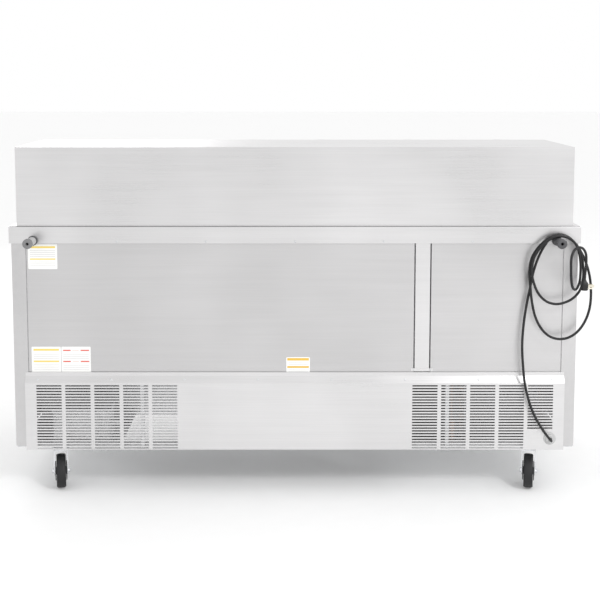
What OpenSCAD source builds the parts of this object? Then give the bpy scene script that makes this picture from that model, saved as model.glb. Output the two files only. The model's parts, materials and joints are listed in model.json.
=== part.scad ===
// Three-door refrigerated sandwich prep table with a raised, insulated pan hood.
// Frame: the doors face -Y, the wall side faces +Y, +Z is up, the wheels stand on z = 0.
// Left and right are those of a person who stands at the doors: left is -X.

/* [Overall] */
// Width of the worktop
top_w = 1800; // [1600:10:2000]
// Height of the worktop
top_z = 858; // [858:1:880]
// Height of the flat top of the hood
hood_z = 1108; // [1060:1:1140]
// Height of the underside of the base above the floor
base_z = 140; // [136:1:140]
// Thickness of the stainless sheet
sheet = 1.5; // [1:0.1:2]
// Thickness of the inner lining sheets and of the pans
lining = 0.8; // [0.6:0.1:1.2]

/* [Body] */
// How far the worktop overhangs the side panels on each side
overhang = 6; // [4:1:10]
// Height of the turned-down edge of the worktop
band_h = 53; // [40:1:60]
// Width of the rear return of a side panel
post_w = 45; // [30:1:60]
// Width of the cover over the wiring chase
chase_cover_w = 46; // [30:1:60]
// Dark gap on each side of the chase cover
chase_gap = 4; // [2:0.5:6]
// Height of the top of the lower rear panel
ledge_z = 378; // [370:1:385]

/* [Louvres] */
// Width of one louvre slot
slot_w = 80; // [60:1:86]
// Height of one louvre slot
slot_h = 4; // [3:0.5:5]
// Number of slot columns in one grille
slot_cols = 5; // [3:1:5]
// Number of slot rows in one column
slot_rows = 23; // [10:1:23]
// Number of slot rows kept above the cord gland
gland_rows = 16; // [8:1:16]

/* [Doors] */
// Thickness of a door
door_t = 50; // [45:1:55]
// Gap between neighbouring doors
door_gap = 8; // [7:1:12]
// Height of a door
door_h = 578; // [540:1:578]

/* [Hood] */
// Width of the hood
hood_w = 1752; // [1700:2:1760]
// Depth of the hood's flat top
hood_flat = 418; // [400:1:430]
// Thickness of a hood lid
lid_t = 20; // [16:1:24]

/* [Pans] */
// Depth of a food pan
pan_depth = 100; // [65:1:100]
// Number of pan columns
pan_cols = 5; // [5:1:5]
// Number of pan rows
pan_rows = 3; // [3:1:3]

/* [Casters] */
// Diameter of a wheel
wheel_d = 108; // [100:1:110]
// Width of a wheel
wheel_w = 30; // [26:1:32]
// Distance from a swivel axis to its wheel's axle
trail = 28; // [20:1:32]
// How far the rear casters are turned about their king pins, with their wheels towards the middle
toe = 12.6; // [0:0.1:30]

/* [Cord] */
// Diameter of the mains lead
cord_d = 8; // [7:0.5:9]

/* [Hidden] */
$fn = 48;

// Steel colours
bright = [0.86, 0.86, 0.87];
steel = [0.78, 0.78, 0.79];
dull = [0.62, 0.63, 0.65];
black = [0.08, 0.08, 0.09];
copper = [0.72, 0.42, 0.25];

// Planes across the depth
band_y = 375;
post_y = 369;
back_y = 367;
louvre_y = 384;
hood_rear_y = 367;
hood_front_y = -205;
frame_y = -349;
apron_y = -365;
door_back_y = -360;
door_front_y = door_back_y - door_t;
board_front_y = -450;

// Folds of the lower rear panel: the vertical face ends at bevel_z, the flange stands at flange_y
bevel_z = ledge_z - 20;
flange_y = post_y + 0.3 + sheet;

// Half widths
half_top = top_w / 2;
half_body = half_top - overhang;
inner_x = 844;
back_x = half_body - post_w - 1;
chase_x = -405;

// Heights
post_z = 148;
band_z = top_z - band_h;
door_z = 210;
rail_z = 847.5;
rail_floor_z = 780;
shelf_z = 486;
deck_z = 425;
floor_z = 240;

// Lining of the hood: distance from the outer sheet to its face, and where it starts
hood_liner_t = 22;
hood_liner_y0 = -18;

// Pan opening in the worktop
open_x = 825;
open_y0 = -195;
open_y1 = 335;
pan_pitch_x = 330;
pan_pitch_y = 176.5;
pan_mid_y = 70;

// Door layout
door_w = (2 * 888 - 2 * door_gap) / 3;
door_pitch = door_w + door_gap;
bay_half = 240;
pivot_in = 12;
pivot_back = 10;
pin_r = 4;
run = 0.05;

// Hood lid pivot and slope
lid_pivot = [-55, hood_z - 4];
lid_bend = [-203, 890];
lid_foot_z = 862;
lid_run = norm(lid_bend - lid_pivot);
lid_dir = (lid_bend - lid_pivot) / lid_run;
lid_in = [-lid_dir[1], lid_dir[0]];
lid_pin_r = 2;

// Grille columns start at this distance from the middle
slot_first = 414;
slot_pitch_x = 92;
slot_pitch_z = 9.2;
slot_top_z = 349;

// Caster swivel axes
caster_x = 765;
caster_rear_y = 308;
caster_front_y = -300;
axle_z = wheel_d / 2;
king_r = 7;

// Cord gland and wall bumpers
gland_x = -814;
gland_z = 177;
gland_y = louvre_y + 10;
bumper_x = 824;
bumper_z = 814;
bumper_tip = 450;

// Route of the mains lead, from the gland to the plug: x, y, z
CORD = [
  [-814, 394, 177], [-813, 411, 178], [-808, 427, 185], [-796, 438, 200], [-778, 439, 224], [-758, 430, 258],
  [-740, 417, 303], [-727, 405, 360], [-721, 398, 420], [-718, 394, 480], [-721, 391, 540], [-728, 390, 600],
  [-738, 389, 655], [-748, 389, 710], [-761, 389, 755], [-779, 389, 794], [-801, 389, 824], [-827, 389, 835],
  [-854, 390, 829], [-876, 392, 810], [-894, 394, 785], [-911, 396, 750], [-924, 398, 705], [-929, 400, 655],
  [-926, 401, 605], [-912, 402, 562], [-888, 403, 528], [-858, 403, 509], [-826, 403, 506], [-797, 403, 517],
  [-773, 403, 542], [-755, 402, 578], [-744, 401, 625], [-738, 400, 675], [-735, 399, 725], [-742, 399, 765],
  [-761, 399, 796], [-784, 399, 819], [-808, 400, 831], [-833, 400, 832], [-857, 401, 824], [-878, 403, 806],
  [-894, 405, 775], [-901, 406, 735], [-901, 407, 695], [-892, 408, 662], [-872, 409, 638], [-846, 410, 624],
  [-817, 411, 619], [-788, 411, 627], [-764, 411, 649], [-748, 410, 682], [-740, 409, 722], [-745, 409, 762],
  [-762, 410, 793], [-785, 410, 817], [-809, 411, 830], [-833, 412, 833], [-856, 413, 826], [-874, 414, 808],
  [-885, 415, 780], [-890, 416, 745], [-890, 416, 710], [-886, 421, 688], [-875, 437, 674], [-862, 456, 674],
  [-851, 471, 688], [-846, 478, 710], [-844, 480, 742], [-844, 480, 770], [-848, 477, 788], [-858, 470, 801],
  [-872, 461, 806], [-886, 452, 801], [-896, 445, 788], [-900, 442, 770], [-899, 444, 738], [-893, 446, 703]
];
cord_sides = 8;

// ---------- helpers ----------

// A cuboid from its lowest to its highest corner
module block(lo, hi) {
  translate(lo) cube(hi - lo);
}

// A closed box section with thin walls
module box_section(lo, hi, wall) {
  inset = [wall, wall, wall];
  difference() {
    block(lo, hi);
    block(lo + inset, hi - inset);
  }
}

// The same shape on both sides of the middle plane
module both_sides() {
  children();
  mirror([1, 0, 0]) children();
}

// An outline in the YZ plane, pushed along X from x0 to x1
module profile_x(x0, x1, points) {
  translate([x0, 0, 0])
    rotate([90, 0, 90])
      linear_extrude(x1 - x0)
        polygon(points);
}

// A cylinder along X, from x0 to x1
module rod_x(r, x0, x1, y, z) {
  translate([x0, y, z]) rotate([0, 90, 0]) cylinder(r = r, h = x1 - x0);
}

// A cylinder along Y, from y0 to y1
module rod_y(r, x, y0, y1, z) {
  translate([x, y0, z]) rotate([-90, 0, 0]) cylinder(r = r, h = y1 - y0);
}

// A cylinder along Z, from z0 to z1
module rod_z(r, x, y, z0, z1) {
  translate([x, y, z0]) cylinder(r = r, h = z1 - z0);
}

// A straight rod between two points
module rod_between(r, a, b) {
  d = b - a;
  flat = norm([d[0], d[1]]);
  translate(a)
    rotate([0, atan2(flat, d[2]), atan2(d[1], d[0])])
      cylinder(r = r, h = norm(d));
}

// A brazed line: straight runs joined by ball fittings
module bent_tube(r, points) {
  for (i = [0 : len(points) - 2]) {
    rod_between(r, points[i], points[i + 1]);
  }
  for (i = [1 : len(points) - 2]) {
    translate(points[i]) sphere(r = r + 1.5);
  }
}

// A rectangle with round corners, centred
module round_rect(w, d, r) {
  square([w - 2 * r, d], center = true);
  square([w, d - 2 * r], center = true);
  for (x = [-1, 1], y = [-1, 1]) {
    translate([x * (w / 2 - r), y * (d / 2 - r)]) circle(r);
  }
}

function unit(v) = v / norm(v);

function heading(p, i) = unit(p[min(i + 1, len(p) - 1)] - p[max(i - 1, 0)]);

// The side direction of each ring, carried along the route without twisting
function side_of(p, i, last) = unit(last - (last * heading(p, i)) * heading(p, i));

function sides_along(p, i = 0, last = [0, 0, 1], done = []) =
  i == len(p) ? done
  : let (s = side_of(p, i, last)) sides_along(p, i + 1, s, concat(done, [s]));

// One closed tube swept along a route
module swept_tube(p, r, n) {
  s = sides_along(p);
  rings = [
    for (i = [0 : len(p) - 1], k = [0 : n - 1])
      let (u = s[i], v = cross(heading(p, i), s[i]), a = 360 * k / n)
        p[i] + r * (cos(a) * u + sin(a) * v)
  ];
  walls = [
    for (i = [0 : len(p) - 2], k = [0 : n - 1])
      [i * n + k, (i + 1) * n + k, (i + 1) * n + (k + 1) % n, i * n + (k + 1) % n]
  ];
  first = [for (k = [0 : n - 1]) k];
  final = [for (k = [n - 1 : -1 : 0]) (len(p) - 1) * n + k];
  polyhedron(points = rings, faces = concat(walls, [first, final]), convexity = 10);
}

// ---------- outer shell ----------

// A side panel with its rear post
module side_panel() {
  block([half_body - sheet, frame_y, post_z], [half_body, post_y, band_z + 50]);
  block([half_body - post_w, post_y - sheet, post_z], [half_body, post_y, band_z + 50]);
}

module side_panel_left() {
  color(steel) mirror([1, 0, 0]) side_panel();
}

module side_panel_right() {
  color(steel) side_panel();
}

// Two rear sheets, each with a return turned into the wiring chase
module back_panels() {
  edge = chase_cover_w / 2 + chase_gap;
  color(steel) {
    block([chase_x + edge, back_y - sheet, ledge_z - 6], [back_x, back_y, top_z - 6]);
    block([chase_x + edge, back_y - 12, ledge_z + 14], [chase_x + edge + 1, back_y, top_z - 6]);
    block([-back_x, back_y - sheet, ledge_z - 6], [chase_x - edge, back_y, top_z - 6]);
    block([chase_x - edge - 1, back_y - 12, ledge_z + 14], [chase_x - edge, back_y, top_z - 6]);
  }
}

// The strip over the wiring chase, with a wider foot
module back_seam_cover() {
  color(bright) {
    block([chase_x - chase_cover_w / 2, back_y - sheet, ledge_z + 20],
      [chase_x + chase_cover_w / 2, back_y + 0.5, top_z - 6]);
    block([chase_x - 35, back_y + 0.1, ledge_z + 14], [chase_x + 35, back_y + 1.6, ledge_z + 24]);
  }
}

// The worktop: a flat sheet with the pan opening and a turned-down edge all round
module worktop() {
  color(bright) {
    difference() {
      block([-half_top, apron_y, top_z - sheet], [half_top, band_y, top_z]);
      block([-open_x, open_y0, top_z - 10], [open_x, open_y1, top_z + 10]);
    }
    block([-half_top, band_y - sheet, band_z], [half_top, band_y, top_z]);
    block([-half_top, apron_y, band_z], [half_top, apron_y + sheet, top_z]);
    both_sides() block([half_top - sheet, apron_y, band_z], [half_top, band_y, top_z]);
  }
}

// The lower rear panel: bevelled top, returned ends and two louvre grilles
module louvre_panel() {
  half = 858;
  color(bright)
    difference() {
      union() {
        profile_x(-half, half, [
          [louvre_y, base_z], [louvre_y, bevel_z], [flange_y, ledge_z],
          [flange_y, ledge_z + 12], [flange_y - sheet, ledge_z + 12],
          [flange_y - sheet, ledge_z - 1], [louvre_y - sheet, bevel_z - 1],
          [louvre_y - sheet, base_z + sheet], [post_y + 1, base_z + sheet],
          [post_y + 1, base_z]
        ]);
        both_sides() profile_x(half - sheet, half, [
          [post_y + 0.5, base_z], [louvre_y - 0.5, base_z],
          [louvre_y - 0.5, bevel_z], [post_y + 0.5, ledge_z - 3]
        ]);
      }
      for (side = [-1, 1], i = [0 : slot_cols - 1], k = [0 : slot_rows - 1]) {
        above_gland = k < gland_rows;
        if (above_gland || side > 0 || i < slot_cols - 1) {
          translate([side * (slot_first + i * slot_pitch_x), louvre_y, slot_top_z - k * slot_pitch_z])
            cube([slot_w, 8, slot_h], center = true);
        }
      }
      rod_y(10, gland_x, louvre_y - 10, louvre_y + 10, gland_z);
    }
}

// Floor plates, bulkhead and roof of the machine bay, two uprights behind the grilles, the rear
// rail and the caster plates; the middle of the bay is open to the floor below
module base_frame() {
  low = base_z + 5 - sheet;
  high = base_z + 5;
  bay_x0 = -330;
  bay_x1 = 560;
  edge = half_body - 2;
  color(dull) {
    block([-edge, frame_y + 5, low], [edge, 29.5, high]);
    block([-edge, 30.5, low], [bay_x0, 349.5, high]);
    block([bay_x1, 30.5, low], [edge, 349.5, high]);
    block([-edge, 350, low], [edge, 364, high + 12]);
    block([-edge, 30, high + 0.5], [edge, 30 + sheet, 373]);
    block([-edge, 30, 373.5], [edge, 365, 373.5 + sheet]);
    both_sides() block([480, 368, high + 0.5], [492, 381, 352]);
    for (x = [-1, 1], y = [caster_rear_y, caster_front_y]) {
      translate([x * caster_x, y, 0]) caster_plate();
    }
  }
}

// A bolted plate with the fixed race of a caster
module caster_plate() {
  difference() {
    union() {
      block([-45, -40, base_z - 3], [45, 40, base_z + 3.2]);
      rod_z(26, 0, 0, base_z - 11.5, base_z - 3);
    }
    rod_z(king_r + run, 0, 0, base_z - 20, base_z + 10);
  }
}

// ---------- insulated cabinet ----------

// Side walls cut away over the machine bay, and a rear wall stepped back behind the rear pans
module liner_walls() {
  rear_y = 316;
  step_y = 335.8;
  step_z = 745;
  half = inner_x - 1;
  color(bright) {
    both_sides() {
      block([inner_x, frame_y + 30, floor_z], [inner_x + lining, -20, rail_floor_z]);
      block([inner_x, -20.5, deck_z], [inner_x + lining, rear_y - 0.5, rail_floor_z]);
    }
    block([-half, rear_y, deck_z], [half, rear_y + lining, step_z]);
    block([-half, rear_y, step_z - lining], [half, step_y + lining, step_z]);
    block([-half, step_y, step_z - lining], [half, step_y + lining, rail_floor_z]);
  }
}

// The stepped floor that rises over the machine bay
module liner_floor() {
  color(bright) {
    block([-inner_x + 0.5, frame_y + 30, floor_z - lining], [inner_x - 0.5, -20.5, floor_z]);
    block([-inner_x + 0.5, -20, floor_z], [inner_x - 0.5, -20 + lining, deck_z]);
    block([-inner_x + 0.5, -18, deck_z - lining], [inner_x - 0.5, 315.5, deck_z]);
  }
}

// Foamed-in insulation between the liner and the outer shell
module foam_insulation() {
  foam_x = inner_x + 2;
  color([0.95, 0.9, 0.7]) {
    both_sides() {
      block([foam_x, -317, 376], [half_body - 2, 365, 803]);
      block([foam_x, -317, 150], [half_body - 2, 29, 375.8]);
    }
    difference() {
      union() {
        block([-foam_x + 0.5, 318, 376], [foam_x - 0.5, 365, 743]);
        block([-foam_x + 0.5, 338, 742], [foam_x - 0.5, 365, 779]);
      }
      block([chase_x - 28, 340, 370], [chase_x + 28, 370, 810]);
    }
    block([-foam_x + 0.5, -317, 150], [foam_x - 0.5, 29, floor_z - 2]);
    block([-foam_x + 0.5, -18, floor_z], [foam_x - 0.5, 29, deck_z - 2]);
    block([-foam_x + 0.5, 29.5, 376], [foam_x - 0.5, 317.5, deck_z - 2]);
    block([-foam_x + 0.5, -317, 782], [foam_x - 0.5, open_y0 - 3, 854]);
    hood_foam();
  }
}

// Insulation behind the hood's rear, top and end linings
module hood_foam() {
  half = hood_w / 2 - sheet - 0.3;
  skin = hood_liner_t - lining - 0.3;
  rear = hood_rear_y - sheet - 0.3;
  block([-half, rear - skin, top_z + 0.5], [half, rear, hood_z - 2]);
  block([-half, hood_liner_y0, hood_z - 2 - skin], [half, rear - skin - 0.3, hood_z - 2]);
  both_sides()
    block([half - skin, hood_liner_y0, top_z + 0.5], [half, rear - skin - 0.3, hood_z - 2.3 - skin]);
}

// The face frame behind the doors
module front_frame() {
  back = frame_y + 29.5;
  low = door_z - 5;
  high = band_z;
  edge = half_body - sheet - 0.5;
  open_z0 = 245;
  open_z1 = 755;
  color(bright) {
    box_section([-edge, frame_y, open_z1], [edge, back, high], sheet);
    box_section([-edge, frame_y, low], [edge, back, open_z0], sheet);
    for (i = [-1, 1]) {
      mullion = door_pitch / 2 - bay_half;
      box_section([i * door_pitch / 2 - mullion, frame_y, open_z0 + 0.3],
        [i * door_pitch / 2 + mullion, back, open_z1 - 0.3], sheet);
    }
    both_sides()
      box_section([door_pitch + bay_half, frame_y, open_z0 + 0.3], [edge, back, open_z1 - 0.3], sheet);
  }
}

// The vented plate under the doors
module kick_plate() {
  color(steel)
    difference() {
      union() {
        block([-half_body + 2, frame_y, base_z + 8], [half_body - 2, frame_y + sheet, door_z - 6]);
        rod_y(26, 700, frame_y - 4, frame_y, 176);
      }
      for (side = [-1, 1], i = [0 : 2], k = [0 : 3]) {
        translate([side * (330 + i * 100), frame_y, 160 + k * 10]) cube([slot_w, 8, slot_h], center = true);
      }
      rod_y(4.05, 700, frame_y - 10, frame_y + 10, 176);
    }
}

// ---------- pans ----------

// The lining of the pan opening, with the bars that carry the pan rims
module pan_rail() {
  wall = open_x + sheet;
  color(bright) {
    both_sides() {
      block([open_x, open_y0, rail_floor_z + 0.3], [wall, open_y1, top_z - sheet - 0.2]);
      block([open_x - 9, open_y0 + 12, rail_z - sheet], [open_x - 0.3, open_y1 - 12, rail_z]);
    }
    block([-wall, open_y0 - sheet - 0.3, rail_floor_z + 0.3], [wall, open_y0 - 0.3, top_z - sheet - 0.2]);
    block([-wall, open_y1 + 0.3, rail_floor_z + 0.3], [wall, open_y1 + sheet + 0.3, top_z - sheet - 0.2]);
    block([-open_x + 0.5, open_y0, rail_z - sheet], [open_x - 0.5, open_y0 + 9, rail_z]);
    block([-open_x + 0.5, open_y1 - 9, rail_z - sheet], [open_x - 0.5, open_y1, rail_z]);
    for (i = [0.5 : 1 : pan_cols - 1.5]) {
      x = (i - (pan_cols - 1) / 2) * pan_pitch_x;
      block([x - 4, open_y0 + 9.5, rail_z - 9], [x + 4, open_y1 - 9.5, rail_z]);
    }
    for (i = [0 : pan_cols - 1], side = [-1, 1]) {
      x = (i - (pan_cols - 1) / 2) * pan_pitch_x;
      y = pan_mid_y + side * pan_pitch_y / 2;
      block([x - 160, y - 4, rail_z - 9], [x + 155.5, y + 4, rail_z]);
    }
  }
}

// One open food pan, hung by its rim
module pan() {
  z = rail_z + 0.3;
  rim_t = 1.5;
  difference() {
    union() {
      translate([0, 0, z]) linear_extrude(rim_t) round_rect(325, 173, 14);
      translate([0, 0, z - pan_depth]) linear_extrude(pan_depth + 1) round_rect(304, 154, 24);
    }
    translate([0, 0, z - pan_depth + lining])
      linear_extrude(pan_depth + 10)
        round_rect(304 - 2 * lining, 154 - 2 * lining, 24 - lining);
  }
}

module pans() {
  color(bright)
    for (i = [0 : pan_cols - 1], k = [0 : pan_rows - 1]) {
      translate([(i - (pan_cols - 1) / 2) * pan_pitch_x, pan_mid_y + (k - 1) * pan_pitch_y, 0]) pan();
    }
}

// ---------- cutting board ----------

module cutting_board() {
  mid_y = (board_front_y - 212) / 2;
  color([0.93, 0.93, 0.9])
    translate([0, mid_y, top_z + 0.2])
      linear_extrude(12.7)
        round_rect(top_w - 4, -212 - board_front_y, 10);
}

// Arms under the front edge of the board
module board_brackets() {
  color(steel)
    for (x = [-860, -300, 300, 860]) {
      profile_x(x - 15, x + 15, [
        [apron_y - 0.2, top_z], [board_front_y + 12, top_z], [board_front_y + 12, top_z - 8],
        [apron_y - 0.2, band_z + 6]
      ]);
    }
}

// ---------- hood ----------

// Welded hood: rear wall, flat top and two end plates cut to the slope of the lids
module hood_shell() {
  half = hood_w / 2;
  top_front = hood_rear_y - hood_flat;
  color(bright) {
    block([-half, hood_rear_y - sheet, top_z + 0.3], [half, hood_rear_y, hood_z]);
    block([-half, top_front, hood_z - sheet], [half, hood_rear_y, hood_z]);
    both_sides() profile_x(half - sheet, half, [
      [hood_rear_y, top_z + 0.3], [hood_rear_y, hood_z], [top_front, hood_z],
      lid_bend, [hood_front_y, top_z + 0.3]
    ]);
  }
}

// Inner panels of the hood: rear, top and ends
module hood_liner() {
  half = hood_w / 2 - sheet - 0.3 - hood_liner_t;
  rear = hood_rear_y - sheet - 0.3 - hood_liner_t;
  top = hood_z - 2 - hood_liner_t;
  color(bright) {
    block([-half, rear, top_z + 0.5], [half, rear + lining, top]);
    block([-half, hood_liner_y0, top], [half, rear - 0.3, top + lining]);
    both_sides() block([half, hood_liner_y0, top_z + 0.5], [half + lining, rear - 0.3, top]);
  }
}

function knuckle_xs(side) = [for (k = [0 : 2]) side * (120 + k * 310)];

// Section of a lid from outside: two thin lips and a hollow pan between them
function lid_outer() =
  let (
    skin = lid_pivot + 6 * lid_dir,
    deep = lid_pivot + 45 * lid_dir,
    back = lid_bend[0] + lid_t
  ) [
    skin, lid_bend, [lid_bend[0], lid_foot_z], [back, lid_foot_z], [back, lid_bend[1] - 6],
    deep + lid_t * lid_in, deep + 2 * lid_in, skin + 2 * lid_in
  ];

// The hollow of that section
function lid_cavity() =
  let (
    deep = lid_pivot + (45 + sheet) * lid_dir,
    front = lid_bend[0] + sheet,
    back = lid_bend[0] + lid_t - sheet
  ) [
    deep + sheet * lid_in, [front, lid_bend[1] - 0.7], [front, lid_foot_z + sheet],
    [back, lid_foot_z + sheet], [back, lid_bend[1] - 6.7], deep + (lid_t - sheet) * lid_in
  ];

// One hood lid: a hollow folded sheet, with knuckles near each pin
module lid(side) {
  x0 = side > 0 ? 3 : -hood_w / 2 + 4;
  x1 = side > 0 ? hood_w / 2 - 4 : -3;
  knuckle_x = 16;
  knuckle_w = 30;
  leaf = lid_pivot + 8 * lid_dir;
  difference() {
    union() {
      difference() {
        profile_x(x0, x1, lid_outer());
        profile_x(x0 + sheet, x1 - sheet, lid_cavity());
      }
      for (x = knuckle_xs(side)) {
        rod_x(4, x + knuckle_x, x + knuckle_x + knuckle_w, lid_pivot[0], lid_pivot[1]);
        profile_x(x + knuckle_x, x + knuckle_x + knuckle_w, [
          lid_pivot, leaf, leaf + 2 * lid_in, lid_pivot + 2 * lid_in
        ]);
      }
    }
    for (x = knuckle_xs(side)) {
      rod_x(lid_pin_r + run, x + knuckle_x - 1, x + knuckle_x + knuckle_w + 1,
        lid_pivot[0], lid_pivot[1]);
    }
  }
}

module lid_left() {
  color(steel) lid(-1);
}

module lid_right() {
  color(steel) lid(1);
}

// A bow handle on two posts, standing off the slope of a lid
module lid_handle(side) {
  mid = side * hood_w / 4;
  foot = lid_pivot + 215 * lid_dir;
  out = -lid_in;
  tip = foot + 32 * out;
  for (x = [mid - 75, mid + 75]) {
    translate([x, foot[0], foot[1]])
      rotate([atan2(out[1], out[0]) - 90, 0, 0])
        cylinder(r = 5, h = 32);
  }
  rod_x(6, mid - 84, mid + 84, tip[0], tip[1]);
}

module lid_left_handle() {
  color(bright) lid_handle(-1);
}

module lid_right_handle() {
  color(bright) lid_handle(1);
}

// ---------- doors ----------

function door_x0(i) = (i - 1) * door_pitch - door_w / 2;

// Middle and left doors hang on their left edge, the right door on its right edge
function pivot_x(i) = i == 2 ? door_x0(2) + door_w - pivot_in : door_x0(i) + pivot_in;

pivot_y = door_front_y + pivot_back;

module pivot_bores(i) {
  rod_z(pin_r + run, pivot_x(i), pivot_y, door_z - 5, door_z + 22);
  rod_z(pin_r + run, pivot_x(i), pivot_y, door_z + door_h - 22, door_z + door_h + 5);
}

// The folded outer skin of a door, with a finger pull sunk along its top edge
module door_skin(i) {
  x0 = door_x0(i);
  pull = [[x0 + 40, door_front_y, door_z + door_h - 30],
    [x0 + door_w - 40, door_front_y + 22, door_z + door_h - 8]];
  wall = [sheet, sheet, sheet];
  difference() {
    union() {
      difference() {
        block([x0, door_front_y, door_z], [x0 + door_w, door_back_y, door_z + door_h]);
        block([x0 + sheet, door_front_y + sheet, door_z + sheet],
          [x0 + door_w - sheet, door_back_y + 1, door_z + door_h - sheet]);
      }
      block(pull[0] - [sheet, 0, sheet], pull[1] + wall);
    }
    block(pull[0] - [0, 5, 0], pull[1]);
    pivot_bores(i);
  }
}

// The inner panel of a door: a tray with bosses round the pivot bores
module door_liner(i) {
  x0 = door_x0(i);
  lip = sheet + 0.3;
  tray = 8;
  boss = 30;
  boss_x0 = pivot_x(i) - boss / 2;
  difference() {
    block([x0 + lip, door_front_y + lip, door_z + lip],
      [x0 + door_w - lip, door_back_y, door_z + door_h - lip]);
    difference() {
      block([x0 + lip + tray, door_front_y, door_z + lip + tray],
        [x0 + door_w - lip - tray, door_back_y - tray, door_z + door_h - lip - tray]);
      for (z = [door_z, door_z + door_h - boss]) {
        block([boss_x0, door_front_y - 1, z], [boss_x0 + boss, door_back_y, z + boss]);
      }
    }
    block([x0 + 36, door_front_y - 1, door_z + door_h - 34],
      [x0 + door_w - 36, door_front_y + 26, door_z + door_h - 5]);
    pivot_bores(i);
  }
}

// A soft seal round the back of a door
module door_gasket(i) {
  x0 = door_x0(i) + 15;
  x1 = door_x0(i) + door_w - 15;
  z0 = door_z + 12;
  z1 = door_z + door_h - 12;
  w = 14;
  difference() {
    block([x0, door_back_y + 0.1, z0], [x1, door_back_y + 9.5, z1]);
    block([x0 + w, door_back_y - 1, z0 + w], [x1 - w, door_back_y + 20, z1 - w]);
  }
}

module door_left_skin() {
  color(bright) door_skin(0);
}

module door_left_liner() {
  color([0.9, 0.9, 0.9]) door_liner(0);
}

module door_left_gasket() {
  color([0.3, 0.3, 0.3]) door_gasket(0);
}

module door_middle_skin() {
  color(bright) door_skin(1);
}

module door_middle_liner() {
  color([0.9, 0.9, 0.9]) door_liner(1);
}

module door_middle_gasket() {
  color([0.3, 0.3, 0.3]) door_gasket(1);
}

module door_right_skin() {
  color(bright) door_skin(2);
}

module door_right_liner() {
  color([0.9, 0.9, 0.9]) door_liner(2);
}

module door_right_gasket() {
  color([0.3, 0.3, 0.3]) door_gasket(2);
}

// Door brackets with pins, and the fixed knuckles and pins of the lids
module hinges() {
  color(dull) {
    for (i = [0 : 2]) {
      x = pivot_x(i);
      block([x - 11, pivot_y - 9, door_z - 5], [x + 11, frame_y, door_z - 2]);
      rod_z(pin_r, x, pivot_y, door_z - 4, door_z + 18);
      block([x - 11, pivot_y - 9, door_z + door_h + 2], [x + 11, frame_y, door_z + door_h + 5]);
      rod_z(pin_r, x, pivot_y, door_z + door_h - 18, door_z + door_h + 4);
    }
    for (side = [-1, 1], x = knuckle_xs(side)) {
      rod_x(lid_pin_r, x - 15, x + 46, lid_pivot[0], lid_pivot[1]);
      rod_x(4, x - 15, x + 15, lid_pivot[0], lid_pivot[1]);
      block([x - 15, lid_pivot[0], hood_z - sheet - 2], [x + 15, -30, hood_z - sheet - 0.2]);
    }
  }
}

// ---------- inside the cabinet ----------

shelf_half = 232;
shelf_y0 = -305;
shelf_y1 = 245;
wire = 5;

// Three coated wire shelves
module shelves() {
  color([0.9, 0.9, 0.92])
    for (i = [-1 : 1]) {
      x = i * door_pitch;
      for (y = [shelf_y0, shelf_y1 - wire]) {
        block([x - shelf_half, y, shelf_z], [x + shelf_half, y + wire, shelf_z + wire]);
      }
      for (k = [0 : 16]) {
        wx = x - shelf_half + k * (2 * shelf_half - wire) / 16;
        block([wx, shelf_y0, shelf_z + 1], [wx + wire, shelf_y1, shelf_z + wire]);
      }
    }
}

// Slotted uprights and the arms that carry the shelves
module shelf_supports() {
  color(bright)
    for (i = [-1 : 1], side = [-1, 1]) {
      x = i * door_pitch + side * 245;
      arm = i * door_pitch + side * 225;
      y0 = frame_y + 30;
      block([x - 3, y0, 300], [x + 3, y0 + 12, 740]);
      block([min(x, arm), y0, shelf_z - 6], [max(x, arm), y0 + 30, shelf_z - 0.3]);
      block([x - 3, 304, deck_z + 2], [x + 3, 315.7, 740]);
      block([min(x, arm), 225, shelf_z - 6], [max(x, arm), 315.7, shelf_z - 0.3]);
    }
}

evap_half = 210;
evap_z0 = 530;
evap_z1 = 730;

// Finned cooling block on the back wall
module evaporator_coil() {
  color([0.75, 0.77, 0.8])
    difference() {
      block([-evap_half + 20, 292, evap_z0 + 15], [evap_half - 20, 314, evap_z1 - 15]);
      for (k = [0 : 14]) {
        translate([-170 + k * 24.2, 290, evap_z0 + 25]) cube([8, 8, evap_z1 - evap_z0 - 50]);
      }
    }
}

// The cover of the cooling block, with the fan hole
module evaporator_cover() {
  color([0.88, 0.88, 0.88])
    difference() {
      block([-evap_half, 258, evap_z0], [evap_half, 315.5, evap_z1]);
      block([-evap_half + 2, 260, evap_z0 + 2], [evap_half - 2, 320, evap_z1 - 2]);
      rod_y(78, 0, 250, 270, (evap_z0 + evap_z1) / 2);
      for (side = [-1, 1], k = [0 : 5]) {
        translate([side * 145, 259, evap_z0 + 40 + k * 24]) cube([80, 10, 8], center = true);
      }
    }
}

// A hub with tilted flat blades, turning about Y
module fan_blades(r, hub_r, depth, blades) {
  rotate([-90, 0, 0]) cylinder(r = hub_r, h = depth);
  for (k = [0 : blades - 1]) {
    rotate([0, k * 360 / blades, 0])
      translate([hub_r - 2, depth / 2, 0])
        rotate([25, 0, 0])
          translate([0, -1, -r * 0.3])
            cube([r - hub_r - 2, 2, r * 0.6]);
  }
}

module evaporator_fan() {
  color(black)
    translate([0, 264, (evap_z0 + evap_z1) / 2]) fan_blades(70, 20, 18, 4);
}

// The dial of the thermostat, on its spindle
module thermostat_dial() {
  color(black) {
    rod_y(18, 700, frame_y - 20, frame_y - 4.5, 176);
    rod_y(4, 700, frame_y - 10, frame_y + 8, 176);
    block([698, frame_y - 23, 176], [702, frame_y - 19, 193]);
  }
}

// ---------- machine bay ----------

comp_x = -440;
comp_y = 240;

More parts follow.
